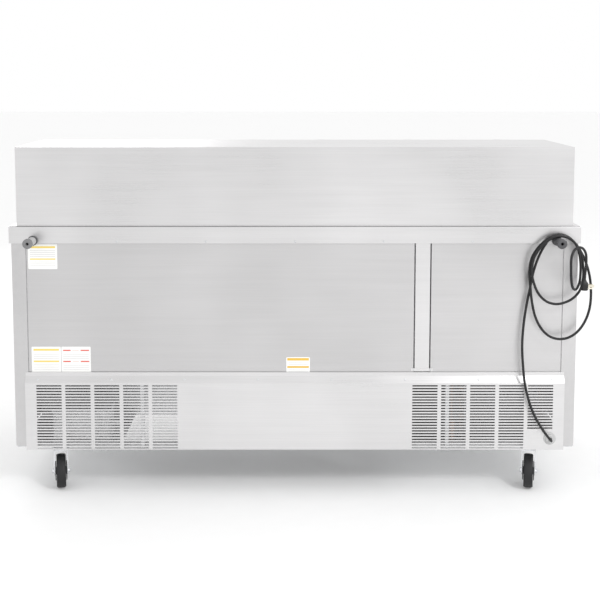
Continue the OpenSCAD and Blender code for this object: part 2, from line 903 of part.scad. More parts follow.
// Welded compressor shell, its wall as heavy as the motor inside, on four rubber feet
module compressor() {
  shell_r = 78;
  wall = 12;
  foot = 95;
  color(black) {
    difference() {
      union() {
        rod_z(shell_r, comp_x, comp_y, 163, 290);
        translate([comp_x, comp_y, 290]) cylinder(r1 = shell_r, r2 = 48, h = 34);
      }
      rod_z(shell_r - wall, comp_x, comp_y, 163 + wall, 290);
    }
    block([comp_x - foot, comp_y - foot, 160], [comp_x + foot, comp_y + foot, 163.1]);
    for (x = [-1, 1], y = [-1, 1]) {
      rod_z(14, comp_x + x * 80, comp_y + y * 80, base_z + 5.2, 160.5);
    }
  }
}

cond_x0 = -800;
cond_x1 = -560;
cond_mid = (cond_x0 + cond_x1) / 2;
cond_y = 200;

// Finned condenser block with its return bends
module condenser_coil() {
  color(dull) {
    difference() {
      block([cond_x0, cond_y, 155], [cond_x1, cond_y + 60, 350]);
      for (k = [0 : 18]) {
        translate([cond_x0 + 12 + k * 12, cond_y + 52, 165]) cube([5, 20, 175]);
      }
    }
    for (k = [0 : 4]) {
      rod_x(5, cond_x0 - 14, cond_x0 + 1, cond_y + 30, 180 + k * 36);
      rod_x(5, cond_x1 - 1, cond_x1 + 14, cond_y + 30, 180 + k * 36);
    }
  }
}

module condenser_fan() {
  color(dull)
    translate([cond_mid, 152, 252]) fan_blades(80, 22, 24, 5);
}

// The ring and the plate round the condenser fan, with the motor on three arms
module fan_shroud() {
  color(black) {
    difference() {
      block([cond_x0, cond_y - 14, 155], [cond_x1, cond_y - 0.5, 350]);
      rod_y(86, cond_mid, cond_y - 20, cond_y + 5, 252);
    }
    difference() {
      rod_y(90, cond_mid, 146, cond_y - 14, 252);
      rod_y(86, cond_mid, 140, cond_y, 252);
    }
    rod_y(28, cond_mid, 100, 148, 252);
    for (a = [90, 210, 330]) {
      translate([cond_mid, 132, 252]) rotate([0, a, 0]) translate([20, 0, -5]) cube([70, 5, 10]);
      translate([cond_mid, 132, 252]) rotate([0, a, 0]) translate([86, 0, -5]) cube([4, 20, 10]);
    }
  }
}

module electrical_box() {
  color(dull) {
    box_section([600, 240, base_z + 5.2], [780, 340, 250], sheet);
    box_section([596, 236, 250], [784, 344, 256], sheet);
    rod_x(9, 580, 600, 290, 200);
  }
}

// Copper lines: discharge to the condenser, liquid with its filter drier, and suction
module refrigerant_tubes() {
  line_r = 4;
  suction_r = 5;
  drier = [-505, 348];
  color(copper) {
    bent_tube(line_r, [
      [comp_x - 30, comp_y + 40, 328], [comp_x - 60, comp_y + 60, 345],
      [cond_x1 + 30, cond_y + 80, 345], [cond_x1 + 20, cond_y + 31, 324]
    ]);
    rod_between(line_r, [cond_x1 + 20, cond_y + 30, 180], [drier[0], drier[1], 180]);
    rod_z(12, drier[0], drier[1], 162, 230);
    rod_z(line_r, drier[0], drier[1], 229, 370);
    bent_tube(suction_r, [
      [comp_x + 40, comp_y + 30, 329], [comp_x + 60, comp_y + 70, 340],
      [-385, 335, 350], [-385, 345, 366]
    ]);
  }
}

// ---------- rear fittings ----------

// Two wall spacers: a base ring, a ribbed stem and an end cap with a screw hole
module wall_bumpers() {
  color([0.45, 0.45, 0.46])
    both_sides()
      difference() {
        union() {
          rod_y(15.5, bumper_x, band_y + 0.1, band_y + 6, bumper_z);
          rod_y(12, bumper_x, band_y + 6, bumper_tip - 13, bumper_z);
          for (k = [0 : 6]) {
            rod_y(13, bumper_x, band_y + 9 + k * 7, band_y + 12 + k * 7, bumper_z);
          }
          rod_y(15.5, bumper_x, bumper_tip - 13, bumper_tip, bumper_z);
        }
        rod_y(4, bumper_x, bumper_tip - 30, bumper_tip + 1, bumper_z);
      }
}

// Round strain relief with a flange on the lower rear panel
module cord_gland() {
  color([0.7, 0.7, 0.7])
    difference() {
      union() {
        rod_y(19.5, gland_x, louvre_y + 0.1, louvre_y + 4, gland_z);
        rod_y(14, gland_x, louvre_y + 3.9, gland_y, gland_z);
        rod_y(9.5, gland_x, louvre_y - 12, louvre_y + 0.2, gland_z);
      }
      rod_y(cord_d / 2 + 1, gland_x, louvre_y + 2, gland_y + 1, gland_z);
    }
}

module power_cord() {
  color(black) swept_tube(CORD, cord_d / 2, cord_sides);
}

// Right-angle plug: a rounded body, two flat blades and a round earth pin
module power_plug() {
  tip = CORD[len(CORD) - 1];
  color(black) {
    translate([tip[0], tip[1], tip[2] - 34]) {
      difference() {
        union() {
          rotate([90, 0, 0]) translate([0, 0, -12]) linear_extrude(24)
            translate([-2, 14]) round_rect(22, 26, 5);
          rod_z(7, 0, 0, 20, 34);
        }
        translate([-40, -20, -20]) cube([26, 40, 60]);
      }
      for (y = [-6.5, 6.5]) {
        block([-32, y - 0.8, 12], [-12, y + 0.8, 18]);
      }
      rod_x(2.4, -34, -12, 0, 6);
    }
  }
}

// Blank information plates on the rear sheets
module labels() {
  color([0.97, 0.97, 0.96]) {
    block([750, back_y + 0.1, 722], [842, back_y + 0.6, 803]);
    block([650, back_y + 0.1, 385], [838, back_y + 0.6, 472]);
    block([-48, back_y + 0.1, 378.5], [27, back_y + 0.6, 438]);
  }
}

// Domed screws of the band, the ledge and the chase cover
module rear_screws() {
  color(dull) {
    for (x = [-560, -280, 0, 280, 560]) {
      rod_y(3.5, x, band_y + 0.1, band_y + 1.8, band_z + 6);
    }
    fold = atan((louvre_y - flange_y) / (ledge_z - bevel_z));
    for (k = [-3 : 4]) {
      translate([k * 234 - 117, (louvre_y + flange_y) / 2, (bevel_z + ledge_z) / 2])
        rotate([fold - 90, 0, 0])
          translate([0, 0, 0.1])
            cylinder(r = 3.5, h = 1.8);
    }
    for (x = [-27, 27]) {
      rod_y(3, chase_x + x, back_y + 1.7, back_y + 3.4, ledge_z + 19);
    }
  }
}

// ---------- casters ----------

// Turns a rear caster about its swivel axis: the left one clockwise, the right one the other way
module toed(side) {
  translate([side * caster_x, caster_rear_y, 0])
    rotate([0, 0, side * toe])
      translate([-side * caster_x, -caster_rear_y, 0])
        children();
}

// A fork hung from its king pin, with the axle bolt and its two nuts
module caster_fork(x, y) {
  leg = wheel_w / 2 + 6;
  top = base_z - 12;
  translate([x, y, 0]) {
    rod_z(30, 0, 0, top - 8, top);
    rod_z(king_r, 0, 0, top - 1, base_z + 2.5);
    difference() {
      union() {
        for (s = [-1, 1]) {
          block([s * leg - 1.5, -22, axle_z + 26], [s * leg + 1.5, 30, top - 4]);
          block([s * leg - 1.5, trail - 14, axle_z - 12], [s * leg + 1.5, trail + 14, axle_z + 28]);
        }
        block([-leg - 1.5, -26, top - 8], [leg + 1.5, 30, top - 4]);
      }
      rod_x(4.2, -40, 40, trail, axle_z);
    }
    rod_x(4.2, -leg - 9, leg + 9, trail, axle_z);
    for (s = [-1, 1]) {
      rod_x(7.5, s * (leg + 4.5) - 3, s * (leg + 4.5) + 3, trail, axle_z);
    }
  }
}

// A rubber tread on a hub with a through bore
module caster_wheel(x, y) {
  r = wheel_d / 2;
  w = wheel_w / 2;
  translate([x, y + trail, axle_z])
    rotate([0, 90, 0])
      rotate_extrude()
        polygon([
          [4.25, -w - 2], [14, -w - 2], [14, -w + 3], [r - 16, -w + 3], [r - 13, -w],
          [r - 4, -w], [r, -w + 5], [r, w - 5], [r - 4, w], [r - 13, w],
          [r - 16, w - 3], [14, w - 3], [14, w + 2], [4.25, w + 2]
        ]);
}

// A pedal hinged on the fork above the wheel
module caster_brake(x, y) {
  leg = wheel_w / 2 + 6;
  translate([x, y - 24, axle_z + 52]) {
    difference() {
      union() {
        rod_x(6, -leg + 2.5, leg - 2.5, 0, 0);
        profile_x(-14, 14, [[0, -5], [0, 5], [-34, 9], [-36, 5], [-4, -5]]);
      }
      rod_x(3.05, -40, 40, 0, 0);
    }
  }
}

// The pin of a brake pedal, carried by the fork
module brake_pin(x, y) {
  leg = wheel_w / 2 + 6;
  translate([x, y - 24, axle_z + 52]) {
    rod_x(3, -leg - 3, leg + 3, 0, 0);
    for (s = [-1, 1]) {
      block([s * leg - 1.5, -8, -8], [s * leg + 1.5, 6, 14]);
    }
  }
}

module caster_rear_left_fork() {
  color(bright) toed(-1) caster_fork(-caster_x, caster_rear_y);
}

module caster_rear_left_wheel() {
  color(black) toed(-1) caster_wheel(-caster_x, caster_rear_y);
}

module caster_rear_right_fork() {
  color(bright) toed(1) caster_fork(caster_x, caster_rear_y);
}

module caster_rear_right_wheel() {
  color(black) toed(1) caster_wheel(caster_x, caster_rear_y);
}

module caster_front_left_fork() {
  color(bright) {
    caster_fork(-caster_x, caster_front_y);
    brake_pin(-caster_x, caster_front_y);
  }
}

module caster_front_left_wheel() {
  color(black) caster_wheel(-caster_x, caster_front_y);
}

module caster_front_right_fork() {
  color(bright) {
    caster_fork(caster_x, caster_front_y);
    brake_pin(caster_x, caster_front_y);
  }
}

module caster_front_right_wheel() {
  color(black) caster_wheel(caster_x, caster_front_y);
}

module caster_front_left_brake() {
  color("crimson") caster_brake(-caster_x, caster_front_y);
}

module caster_front_right_brake() {
  color("crimson") caster_brake(caster_x, caster_front_y);
}

side_panel_left();
side_panel_right();
back_panels();
back_seam_cover();
worktop();
liner_walls();
liner_floor();
foam_insulation();
louvre_panel();
base_frame();
front_frame();
kick_plate();
pan_rail();
pans();
cutting_board();
board_brackets();
hood_shell();
hood_liner();
lid_left();
lid_left_handle();
lid_right();
lid_right_handle();
hinges();
door_left_skin();
door_left_liner();
door_left_gasket();
door_middle_skin();
door_middle_liner();
door_middle_gasket();
door_right_skin();
door_right_liner();
door_right_gasket();
shelves();
shelf_supports();
evaporator_coil();
evaporator_cover();
evaporator_fan();
thermostat_dial();
compressor();
condenser_coil();
condenser_fan();
fan_shroud();
electrical_box();
refrigerant_tubes();
wall_bumpers();
cord_gland();
power_cord();
power_plug();
labels();
rear_screws();
caster_rear_left_fork();
caster_rear_left_wheel();
caster_rear_right_fork();
caster_rear_right_wheel();
caster_front_left_fork();
caster_front_left_wheel();
caster_front_right_fork();
caster_front_right_wheel();
caster_front_left_brake();
caster_front_right_brake();
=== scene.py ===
"""Looks of the sandwich prep table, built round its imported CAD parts. Metres, the CAD's own frame."""

import json
import math

import bmesh
import bpy
from mathutils import Matrix, Vector


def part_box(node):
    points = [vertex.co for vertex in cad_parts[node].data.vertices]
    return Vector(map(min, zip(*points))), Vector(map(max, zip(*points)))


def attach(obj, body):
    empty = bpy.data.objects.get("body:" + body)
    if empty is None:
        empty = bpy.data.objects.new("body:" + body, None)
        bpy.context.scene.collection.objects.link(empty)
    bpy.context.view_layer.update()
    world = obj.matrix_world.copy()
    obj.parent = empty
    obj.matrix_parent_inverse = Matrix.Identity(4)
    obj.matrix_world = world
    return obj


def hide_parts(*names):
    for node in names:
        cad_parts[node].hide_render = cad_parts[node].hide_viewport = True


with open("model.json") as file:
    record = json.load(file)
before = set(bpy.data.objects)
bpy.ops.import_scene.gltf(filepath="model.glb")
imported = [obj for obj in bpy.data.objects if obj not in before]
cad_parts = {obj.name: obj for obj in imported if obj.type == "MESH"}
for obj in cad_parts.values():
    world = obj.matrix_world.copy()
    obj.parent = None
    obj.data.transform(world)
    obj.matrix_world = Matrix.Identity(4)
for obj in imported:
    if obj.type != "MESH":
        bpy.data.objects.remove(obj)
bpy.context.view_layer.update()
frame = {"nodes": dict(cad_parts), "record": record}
NODES = frame["nodes"]
SLOT_OF = {s["node"]: s["material_slot"] for s in frame["record"]["subparts"]}
MM = 0.001
TAU = math.tau

# ---------- camera ----------

# Behind the table and a little above it, looking slightly down; the shift keeps uprights upright
CAMERA_PLACE = (0, 3.738, 1.32)
CAMERA_DOWN_DEG = 5.66

cam_data = bpy.data.cameras.new("camera")
cam_data.sensor_width = 36
cam_data.lens = 64.8
cam_data.shift_x = 0.0087
cam_data.shift_y = -0.19
camera = bpy.data.objects.new("camera", cam_data)
bpy.context.scene.collection.objects.link(camera)
camera.location = CAMERA_PLACE
camera.rotation_euler = (math.radians(90 - CAMERA_DOWN_DEG), 0, math.pi)
bpy.context.scene.camera = camera
bpy.context.scene.view_settings.view_transform = "Standard"

# ---------- materials ----------


class Graph:
    """Small helper round one material's node tree."""

    def __init__(self, name):
        self.material = bpy.data.materials.new(name)
        self.material.use_nodes = True
        self.tree = self.material.node_tree
        self.shader = self.tree.nodes["Principled BSDF"]
        self.coords = self.tree.nodes.new("ShaderNodeTexCoord").outputs["Object"]

    def link(self, a, b):
        self.tree.links.new(a, b)

    def stretched(self, scale):
        """Object coordinates scaled per axis."""
        node = self.tree.nodes.new("ShaderNodeMapping")
        node.inputs["Scale"].default_value = scale
        self.link(self.coords, node.inputs["Vector"])
        return node.outputs["Vector"]

    def noise(self, scale, detail=3, vector=None):
        node = self.tree.nodes.new("ShaderNodeTexNoise")
        node.inputs["Scale"].default_value = scale
        node.inputs["Detail"].default_value = detail
        self.link(vector or self.coords, node.inputs["Vector"])
        return node.outputs["Fac"]

    def cells(self, scale, vector=None):
        node = self.tree.nodes.new("ShaderNodeTexVoronoi")
        node.inputs["Scale"].default_value = scale
        self.link(vector or self.coords, node.inputs["Vector"])
        return node.outputs["Color"]

    def span(self, value, low, high, from_low=0.3, from_high=0.7):
        """Remaps a texture value to low..high."""
        node = self.tree.nodes.new("ShaderNodeMapRange")
        node.inputs["From Min"].default_value = from_low
        node.inputs["From Max"].default_value = from_high
        node.inputs["To Min"].default_value = low
        node.inputs["To Max"].default_value = high
        self.link(value, node.inputs["Value"])
        return node.outputs["Result"]

    def math(self, kind, a, b):
        node = self.tree.nodes.new("ShaderNodeMath")
        node.operation = kind
        self.link(a, node.inputs[0])
        self.link(b, node.inputs[1])
        return node.outputs[0]

    def mix(self, factor, dark, light):
        """A colour between two, chosen by a 0..1 value."""
        node = self.tree.nodes.new("ShaderNodeMix")
        node.data_type = "RGBA"
        node.inputs[6].default_value = (*dark, 1)
        node.inputs[7].default_value = (*light, 1)
        self.link(factor, node.inputs[0])
        return node.outputs[2]

    def bump(self, height, strength, distance):
        node = self.tree.nodes.new("ShaderNodeBump")
        node.inputs["Strength"].default_value = strength
        node.inputs["Distance"].default_value = distance
        self.link(height, node.inputs["Height"])
        self.link(node.outputs["Normal"], self.shader.inputs["Normal"])

    def colour(self, value):
        self.link(value, self.shader.inputs["Base Color"])

    def roughness(self, value):
        self.link(value, self.shader.inputs["Roughness"])


def shade(colour, k):
    return tuple(min(1, c * k) for c in colour)


def brushed(name, colour, grain, rough=0.38, contrast=0.08):
    """Brushed stainless: long fine streaks along one axis, with soft wide clouds of tone."""
    g = Graph(name)
    fine = [520, 520, 520]
    fine["XYZ".index(grain)] = 5
    broad = [60, 60, 60]
    broad["XYZ".index(grain)] = 1.5
    streaks = g.noise(1, 2, g.stretched(fine))
    bands = g.noise(1, 2, g.stretched(broad))
    clouds = g.noise(2.4, 2)
    mixed = g.math("ADD", g.span(streaks, 0, 0.25), g.math(
        "ADD", g.span(bands, 0, 0.2), g.span(clouds, 0, 0.55, 0.35, 0.65)))
    g.colour(g.mix(mixed, shade(colour, 1 - contrast), shade(colour, 1 + contrast)))
    g.roughness(g.span(mixed, rough - 0.05, rough + 0.07, 0, 1))
    g.bump(streaks, 0.12, 0.0002)
    g.shader.inputs["Metallic"].default_value = 1
    return g.material


def moulded(name, colour, rough, grain=900, depth=0.00012, variation=0.12, metallic=0.0):
    """Plastic, rubber or paint: fine surface grain, soft tone variation and slight smudges."""
    g = Graph(name)
    smudges = g.noise(14, 5)
    grains = g.noise(grain, 2)
    g.colour(g.mix(g.span(smudges, 0, 1), shade(colour, 1 - variation), shade(colour, 1 + variation)))
    g.roughness(g.span(smudges, rough - 0.06, rough + 0.08))
    g.bump(grains, 0.35, depth)
    g.shader.inputs["Metallic"].default_value = metallic
    return g.material


def spangled(name, colour):
    """Galvanised sheet with its patches of zinc crystals."""
    g = Graph(name)
    patches = g.tree.nodes.new("ShaderNodeSeparateColor")
    g.link(g.cells(110), patches.inputs[0])
    tone = patches.outputs[0]
    g.colour(g.mix(tone, shade(colour, 0.82), shade(colour, 1.12)))
    g.roughness(g.span(tone, 0.38, 0.55, 0, 1))
    g.bump(g.noise(700, 2), 0.15, 0.0001)
    g.shader.inputs["Metallic"].default_value = 0.6
    return g.material


def foamed(name, colour):
    """Rigid foam with small open cells."""
    g = Graph(name)
    grains = g.noise(420, 4)
    g.colour(g.mix(g.span(grains, 0, 1), shade(colour, 0.85), colour))
    g.shader.inputs["Roughness"].default_value = 0.9
    g.bump(grains, 0.6, 0.0008)
    return g.material


def cutting_surface(name, colour):
    """White polyethylene with a fine pebble and shallow knife marks."""
    g = Graph(name)
    pebble = g.noise(800, 2)
    marks = g.noise(1, 2, g.stretched((14, 420, 60)))
    both = g.math("ADD", g.span(pebble, 0, 0.4), g.span(marks, 0, 0.6, 0.55, 0.75))
    g.colour(g.mix(g.noise(9, 5), shade(colour, 0.94), shade(colour, 1.03)))
    g.roughness(g.span(marks, 0.42, 0.6))
    g.bump(both, 0.35, 0.0003)
    g.shader.inputs["Subsurface Weight"].default_value = 0.05
    return g.material


STAINLESS = (0.60, 0.594, 0.597)
BRIGHT = (0.70, 0.694, 0.697)
MATS = {
    "stainless_panel": brushed("stainless_panel", STAINLESS, "X"),
    "stainless_bright": brushed("stainless_bright", BRIGHT, "X", 0.3),
    "galvanised": spangled("galvanised", (0.7, 0.71, 0.72)),
    "insulation": foamed("insulation", (0.86, 0.78, 0.52)),
    "board_white": cutting_surface("board_white", (0.86, 0.86, 0.82)),
    "door_lining": moulded("door_lining", (0.8, 0.8, 0.81), 0.4, 500, variation=0.03),
    "gasket_grey": moulded("gasket_grey", (0.16, 0.16, 0.165), 0.6, 1200),
    "shelf_coat": moulded("shelf_coat", (0.8, 0.8, 0.82), 0.35, 700, variation=0.03),
    "cover_white": moulded("cover_white", (0.78, 0.78, 0.78), 0.38, 500, variation=0.03),
    "coil_fins": moulded("coil_fins", (0.72, 0.74, 0.77), 0.36, 900, metallic=1, variation=0.08),
    "black_plastic": moulded("black_plastic", (0.025, 0.025, 0.028), 0.45),
    "black_paint": moulded("black_paint", (0.02, 0.02, 0.022), 0.32, 400, variation=0.2),
    "copper": moulded("copper", (0.3, 0.2, 0.15), 0.42, 300, metallic=1),
    "bumper_grey": moulded("bumper_grey", (0.075, 0.075, 0.08), 0.5),
    "gland_grey": moulded("gland_grey", (0.5, 0.5, 0.5), 0.3, 600, variation=0.06),
    "cord_black": moulded("cord_black", (0.005, 0.005, 0.006), 0.5, 1500),
    "label_white": moulded("label_white", (0.9, 0.9, 0.88), 0.35, 500, variation=0.02),
    "zinc": moulded("zinc", (0.78, 0.79, 0.81), 0.22, 260, metallic=1, variation=0.07),
    "wheel_black": moulded("wheel_black", (0.011, 0.011, 0.012), 0.6),
    "brake_red": moulded("brake_red", (0.4, 0.02, 0.02), 0.4),
}
SIDE_STEEL = brushed("stainless_side", STAINLESS, "Y")
BUMPER_STEM = moulded("bumper_stem", (0.42, 0.42, 0.42), 0.45, variation=0.08)
BUMPER_CAP = moulded("bumper_cap", (0.2, 0.2, 0.205), 0.5, variation=0.08)
HUB_GREY = moulded("hub_grey", (0.07, 0.07, 0.075), 0.5)
INK_YELLOW = moulded("ink_yellow", (0.86, 0.66, 0.16), 0.4, 500, variation=0.04)
INK_GOLD = moulded("ink_gold", (0.78, 0.5, 0.08), 0.4, 500, variation=0.04)
INK_RED = moulded("ink_red", (0.75, 0.13, 0.1), 0.4, 500, variation=0.04)
INK_PINK = moulded("ink_pink", (0.85, 0.62, 0.55), 0.4, 500, variation=0.04)
INK_GREY = moulded("ink_grey", (0.62, 0.62, 0.62), 0.4, 500, variation=0.04)
BLADE = moulded("blade_nickel", (0.72, 0.68, 0.58), 0.3, 300, metallic=1)

# ---------- mesh helpers ----------


def flat_ring(w, d, r, steps=6):
    """Outline of a rectangle with round corners, anticlockwise, centred on the origin."""
    points = []
    for k, (sx, sy) in enumerate(((1, 1), (-1, 1), (-1, -1), (1, -1))):
        for i in range(steps + 1):
            a = TAU / 4 * (k + i / steps)
            points.append((sx * (w / 2 - r) + r * math.cos(a), sy * (d / 2 - r) + r * math.sin(a)))
    return points


def add_loft(bm, rings, close=False, caps=True):
    """Joins rings of equal length into a skin; close joins the last ring to the first."""
    made = [[bm.verts.new(p) for p in ring] for ring in rings]
    n = len(made[0])
    pairs = list(zip(made, made[1:])) + ([(made[-1], made[0])] if close else [])
    for a, b in pairs:
        for i in range(n):
            j = (i + 1) % n
            bm.faces.new((a[i], a[j], b[j], b[i]))
    if caps and not close:
        bm.faces.new(made[0][::-1])
        bm.faces.new(made[-1])


AXES = {
    "X": lambda r, a, t: (t, r * math.cos(a), r * math.sin(a)),
    "Y": lambda r, a, t: (r * math.sin(a), t, r * math.cos(a)),
    "Z": lambda r, a, t: (r * math.cos(a), r * math.sin(a), t),
}


def add_lathe(bm, axis, centre, profile, steps=40, wave=None):
    """Turns (radius, place along the axis) pairs, in mm, about an axis through centre.
    wave(angle) scales the radius of the rings that are marked with a third value."""
    c = Vector(centre)
    turn = AXES[axis]
    rings = []
    for item in profile:
        r, t = max(item[0], 0.02) * MM, item[1] * MM
        rings.append([
            c + Vector(turn(r * (wave(TAU * k / steps) if len(item) > 2 else 1), TAU * k / steps, t))
            for k in range(steps)
        ])
    closed = profile[0][0] > 0 and profile[-1][0] > 0
    add_loft(bm, rings, close=closed, caps=not closed)


def add_tube(bm, points, radius, sides=10):
    """Sweeps a circle along a path."""
    points = [Vector(p) for p in points]
    side = None
    rings = []
    for i, p in enumerate(points):
        along = (points[min(i + 1, len(points) - 1)] - points[max(i - 1, 0)]).normalized()
        if side is None:
            side = along.orthogonal().normalized()
        side = (side - side.dot(along) * along).normalized()
        up = along.cross(side)
        rings.append([
            p + radius * (math.cos(TAU * k / sides) * side + math.sin(TAU * k / sides) * up)
            for k in range(sides)
        ])
    add_loft(bm, rings)


def add_box(bm, lo, hi, bevel=0.0, matrix=None):
    """A cuboid with softened edges."""
    lo, hi = Vector(lo), Vector(hi)
    made = bmesh.ops.create_cube(bm, size=1)["verts"]
    place = Matrix.Translation((lo + hi) / 2) @ Matrix.Diagonal((*(hi - lo), 1))
    bmesh.ops.transform(bm, matrix=place, verts=made)
    if bevel:
        edges = {e for v in made for e in v.link_edges}
        made = bmesh.ops.bevel(bm, geom=list(edges), offset=bevel, segments=2, affect="EDGES",
                               clamp_overlap=True)["verts"]
    if matrix:
        bmesh.ops.transform(bm, matrix=matrix, verts=made)


def add_prism(bm, outline, x0, x1, bevel=0.0):
    """An outline of (y, z) pairs pushed along X, with softened edges."""
    a = [bm.verts.new((x0, y, z)) for y, z in outline]
    b = [bm.verts.new((x1, y, z)) for y, z in outline]
    n = len(a)
    faces = [bm.faces.new(a[::-1]), bm.faces.new(b)]
    for i in range(n):
        faces.append(bm.faces.new((a[i], a[(i + 1) % n], b[(i + 1) % n], b[i])))
    bmesh.ops.recalc_face_normals(bm, faces=faces)
    if bevel:
        rims = [e for f in faces[:2] for e in f.edges]
        bmesh.ops.bevel(bm, geom=rims, offset=bevel, segments=2, affect="EDGES", clamp_overlap=True)


def filleted(points, r, steps=6):
    """A path with its corners turned into arcs."""
    points = [Vector(p) for p in points]
    out = [points[0]]
    for a, b, c in zip(points, points[1:], points[2:]):
        u, v = (a - b).normalized(), (c - b).normalized()
        reach = min(r, (a - b).length * 0.45, (c - b).length * 0.45)
        p, q = b + u * reach, b + v * reach
        for k in range(steps + 1):
            t = k / steps
            out.append((1 - t) ** 2 * p + 2 * t * (1 - t) * b + t * t * q)
    return out + [points[-1]]


def smooth_route(points, steps=4):
    """A finer path through the same points (Catmull-Rom)."""
    p = [Vector(v) for v in points]
    p = [2 * p[0] - p[1]] + p + [2 * p[-1] - p[-2]]
    out = []
    for a, b, c, d in zip(p, p[1:], p[2:], p[3:]):
        for k in range(steps):
            t = k / steps
            out.append(0.5 * (2 * b + (c - a) * t + (2 * a - 5 * b + 4 * c - d) * t * t
                              + (3 * b - a - 3 * c + d) * t ** 3))
    return out + [p[-2]]


def piece(name, bm, slot, body, *nodes, material=None, angle=35):
    """Turns a bmesh into an object of the model that rides on a body."""
    bmesh.ops.recalc_face_normals(bm, faces=bm.faces[:])
    mesh = bpy.data.meshes.new(name)
    bm.to_mesh(mesh)
    bm.free()
    for poly in mesh.polygons:
        poly.use_smooth = True
    mesh.set_sharp_from_angle(angle=math.radians(angle))
    obj = bpy.data.objects.new(name, mesh)
    bpy.context.scene.collection.objects.link(obj)
    mesh.materials.append(material or MATS[slot])
    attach(obj, body)
    if nodes:
        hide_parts(*nodes)
    return obj


def centre_of(node):
    lo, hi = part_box(node)
    return (lo + hi) / 2


# ---------- mains lead and its plug ----------

ROUTE_MM = [
    (-814, 394, 177), (-813, 411, 178), (-808, 427, 185), (-796, 438, 200), (-778, 439, 224),
    (-758, 430, 258), (-740, 417, 303), (-727, 405, 360), (-721, 398, 420), (-718, 394, 480),
    (-721, 391, 540), (-728, 390, 600), (-738, 389, 655), (-748, 389, 710), (-761, 389, 755),
    (-779, 389, 794), (-801, 389, 824), (-827, 389, 835), (-854, 390, 829), (-876, 392, 810),
    (-894, 394, 785), (-911, 396, 750), (-924, 398, 705), (-929, 400, 655), (-926, 401, 605),
    (-912, 402, 562), (-888, 403, 528), (-858, 403, 509), (-826, 403, 506), (-797, 403, 517),
    (-773, 403, 542), (-755, 402, 578), (-744, 401, 625), (-738, 400, 675), (-735, 399, 725),
    (-742, 399, 765), (-761, 399, 796), (-784, 399, 819), (-808, 400, 831), (-833, 400, 832),
    (-857, 401, 824), (-878, 403, 806), (-894, 405, 775), (-901, 406, 735), (-901, 407, 695),
    (-892, 408, 662), (-872, 409, 638), (-846, 410, 624), (-817, 411, 619), (-788, 411, 627),
    (-764, 411, 649), (-748, 410, 682), (-740, 409, 722), (-745, 409, 762), (-762, 410, 793),
    (-785, 410, 817), (-809, 411, 830), (-833, 412, 833), (-856, 413, 826), (-874, 414, 808),
    (-885, 415, 780), (-890, 416, 745), (-890, 416, 710), (-886, 421, 688), (-875, 437, 674),
    (-862, 456, 674), (-851, 471, 688), (-846, 478, 710), (-844, 480, 742), (-844, 480, 770),
    (-848, 477, 788), (-858, 470, 801), (-872, 461, 806), (-886, 452, 801), (-896, 445, 788),
    (-900, 442, 770), (-899, 444, 738), (-893, 446, 703),
]
CORD_D = 8 * MM
route = smooth_route([Vector(p) * MM for p in ROUTE_MM])
curve = bpy.data.curves.new("mains_lead", "CURVE")
curve.dimensions = "3D"
curve.bevel_depth = CORD_D / 2
curve.bevel_resolution = 4
curve.use_fill_caps = True
spline = curve.splines.new("POLY")
spline.points.add(len(route) - 1)
for point, place in zip(spline.points, route):
    point.co = (*place, 1)
cord = bpy.data.objects.new("mains_lead", curve)
bpy.context.scene.collection.objects.link(cord)
curve.materials.append(MATS["cord_black"])
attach(cord, "cabinet")
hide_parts("power_cord")

tip = route[-1]
bm = bmesh.new()
PLUG_RINGS = (
    (-33.5, 14, 15, 6), (-33, 18, 20, 7), (-30, 21, 23.5, 7), (-16, 22, 24, 7), (-10, 20.5, 22, 7),
    (-5, 16, 17, 6.5), (-1, 14, 14, 6.6), (1, 13.6, 13.6, 6.6),
)
add_loft(bm, [
    [tip + Vector((x - 2, y, z)) * MM for x, y in flat_ring(w, d, r)]
    if z < -6 else [tip + Vector((x - 1 * (1 - (z + 6) / 7), y, z)) * MM for x, y in flat_ring(w, d, r)]
    for z, w, d, r in PLUG_RINGS
])
RIBS = [(5.2, -1)]
for k in range(6):
    z0 = 0.5 + 3.6 * k
    r = 6.8 - 0.3 * k
    RIBS += [(r, z0), (r, z0 + 2.2), (r - 1.3, z0 + 2.4), (r - 1.3, z0 + 3.4)]
RIBS.append((4.2, 22.5))
lean = (Vector(route[-6]) - tip).normalized()
relief = bmesh.new()
add_lathe(relief, "Z", (0, 0, 0), RIBS, 24)
bmesh.ops.transform(relief, verts=relief.verts[:],
                    matrix=Matrix.Translation(tip) @ Vector((0, 0, 1)).rotation_difference(lean).to_matrix().to_4x4())
plug_collar = piece("plug_strain_relief", relief, "cord_black", "cabinet")
plug = piece("plug_body", bm, "cord_black", "cabinet", "power_plug")
bm = bmesh.new()
for y in (-6.5, 6.5):
    add_box(bm, tip + Vector((-31.5, y - 0.8, -22.2)) * MM, tip + Vector((-11, y + 0.8, -15.8)) * MM, 0.0004)
add_tube(bm, [tip + Vector((x, 0, -27.5)) * MM for x in (-33.5, -32.6, -31, -11)], 2.4 * MM, 16)
plug_blades = piece("plug_blades", bm, "zinc", "cabinet", material=BLADE)

# ---------- rear fittings ----------

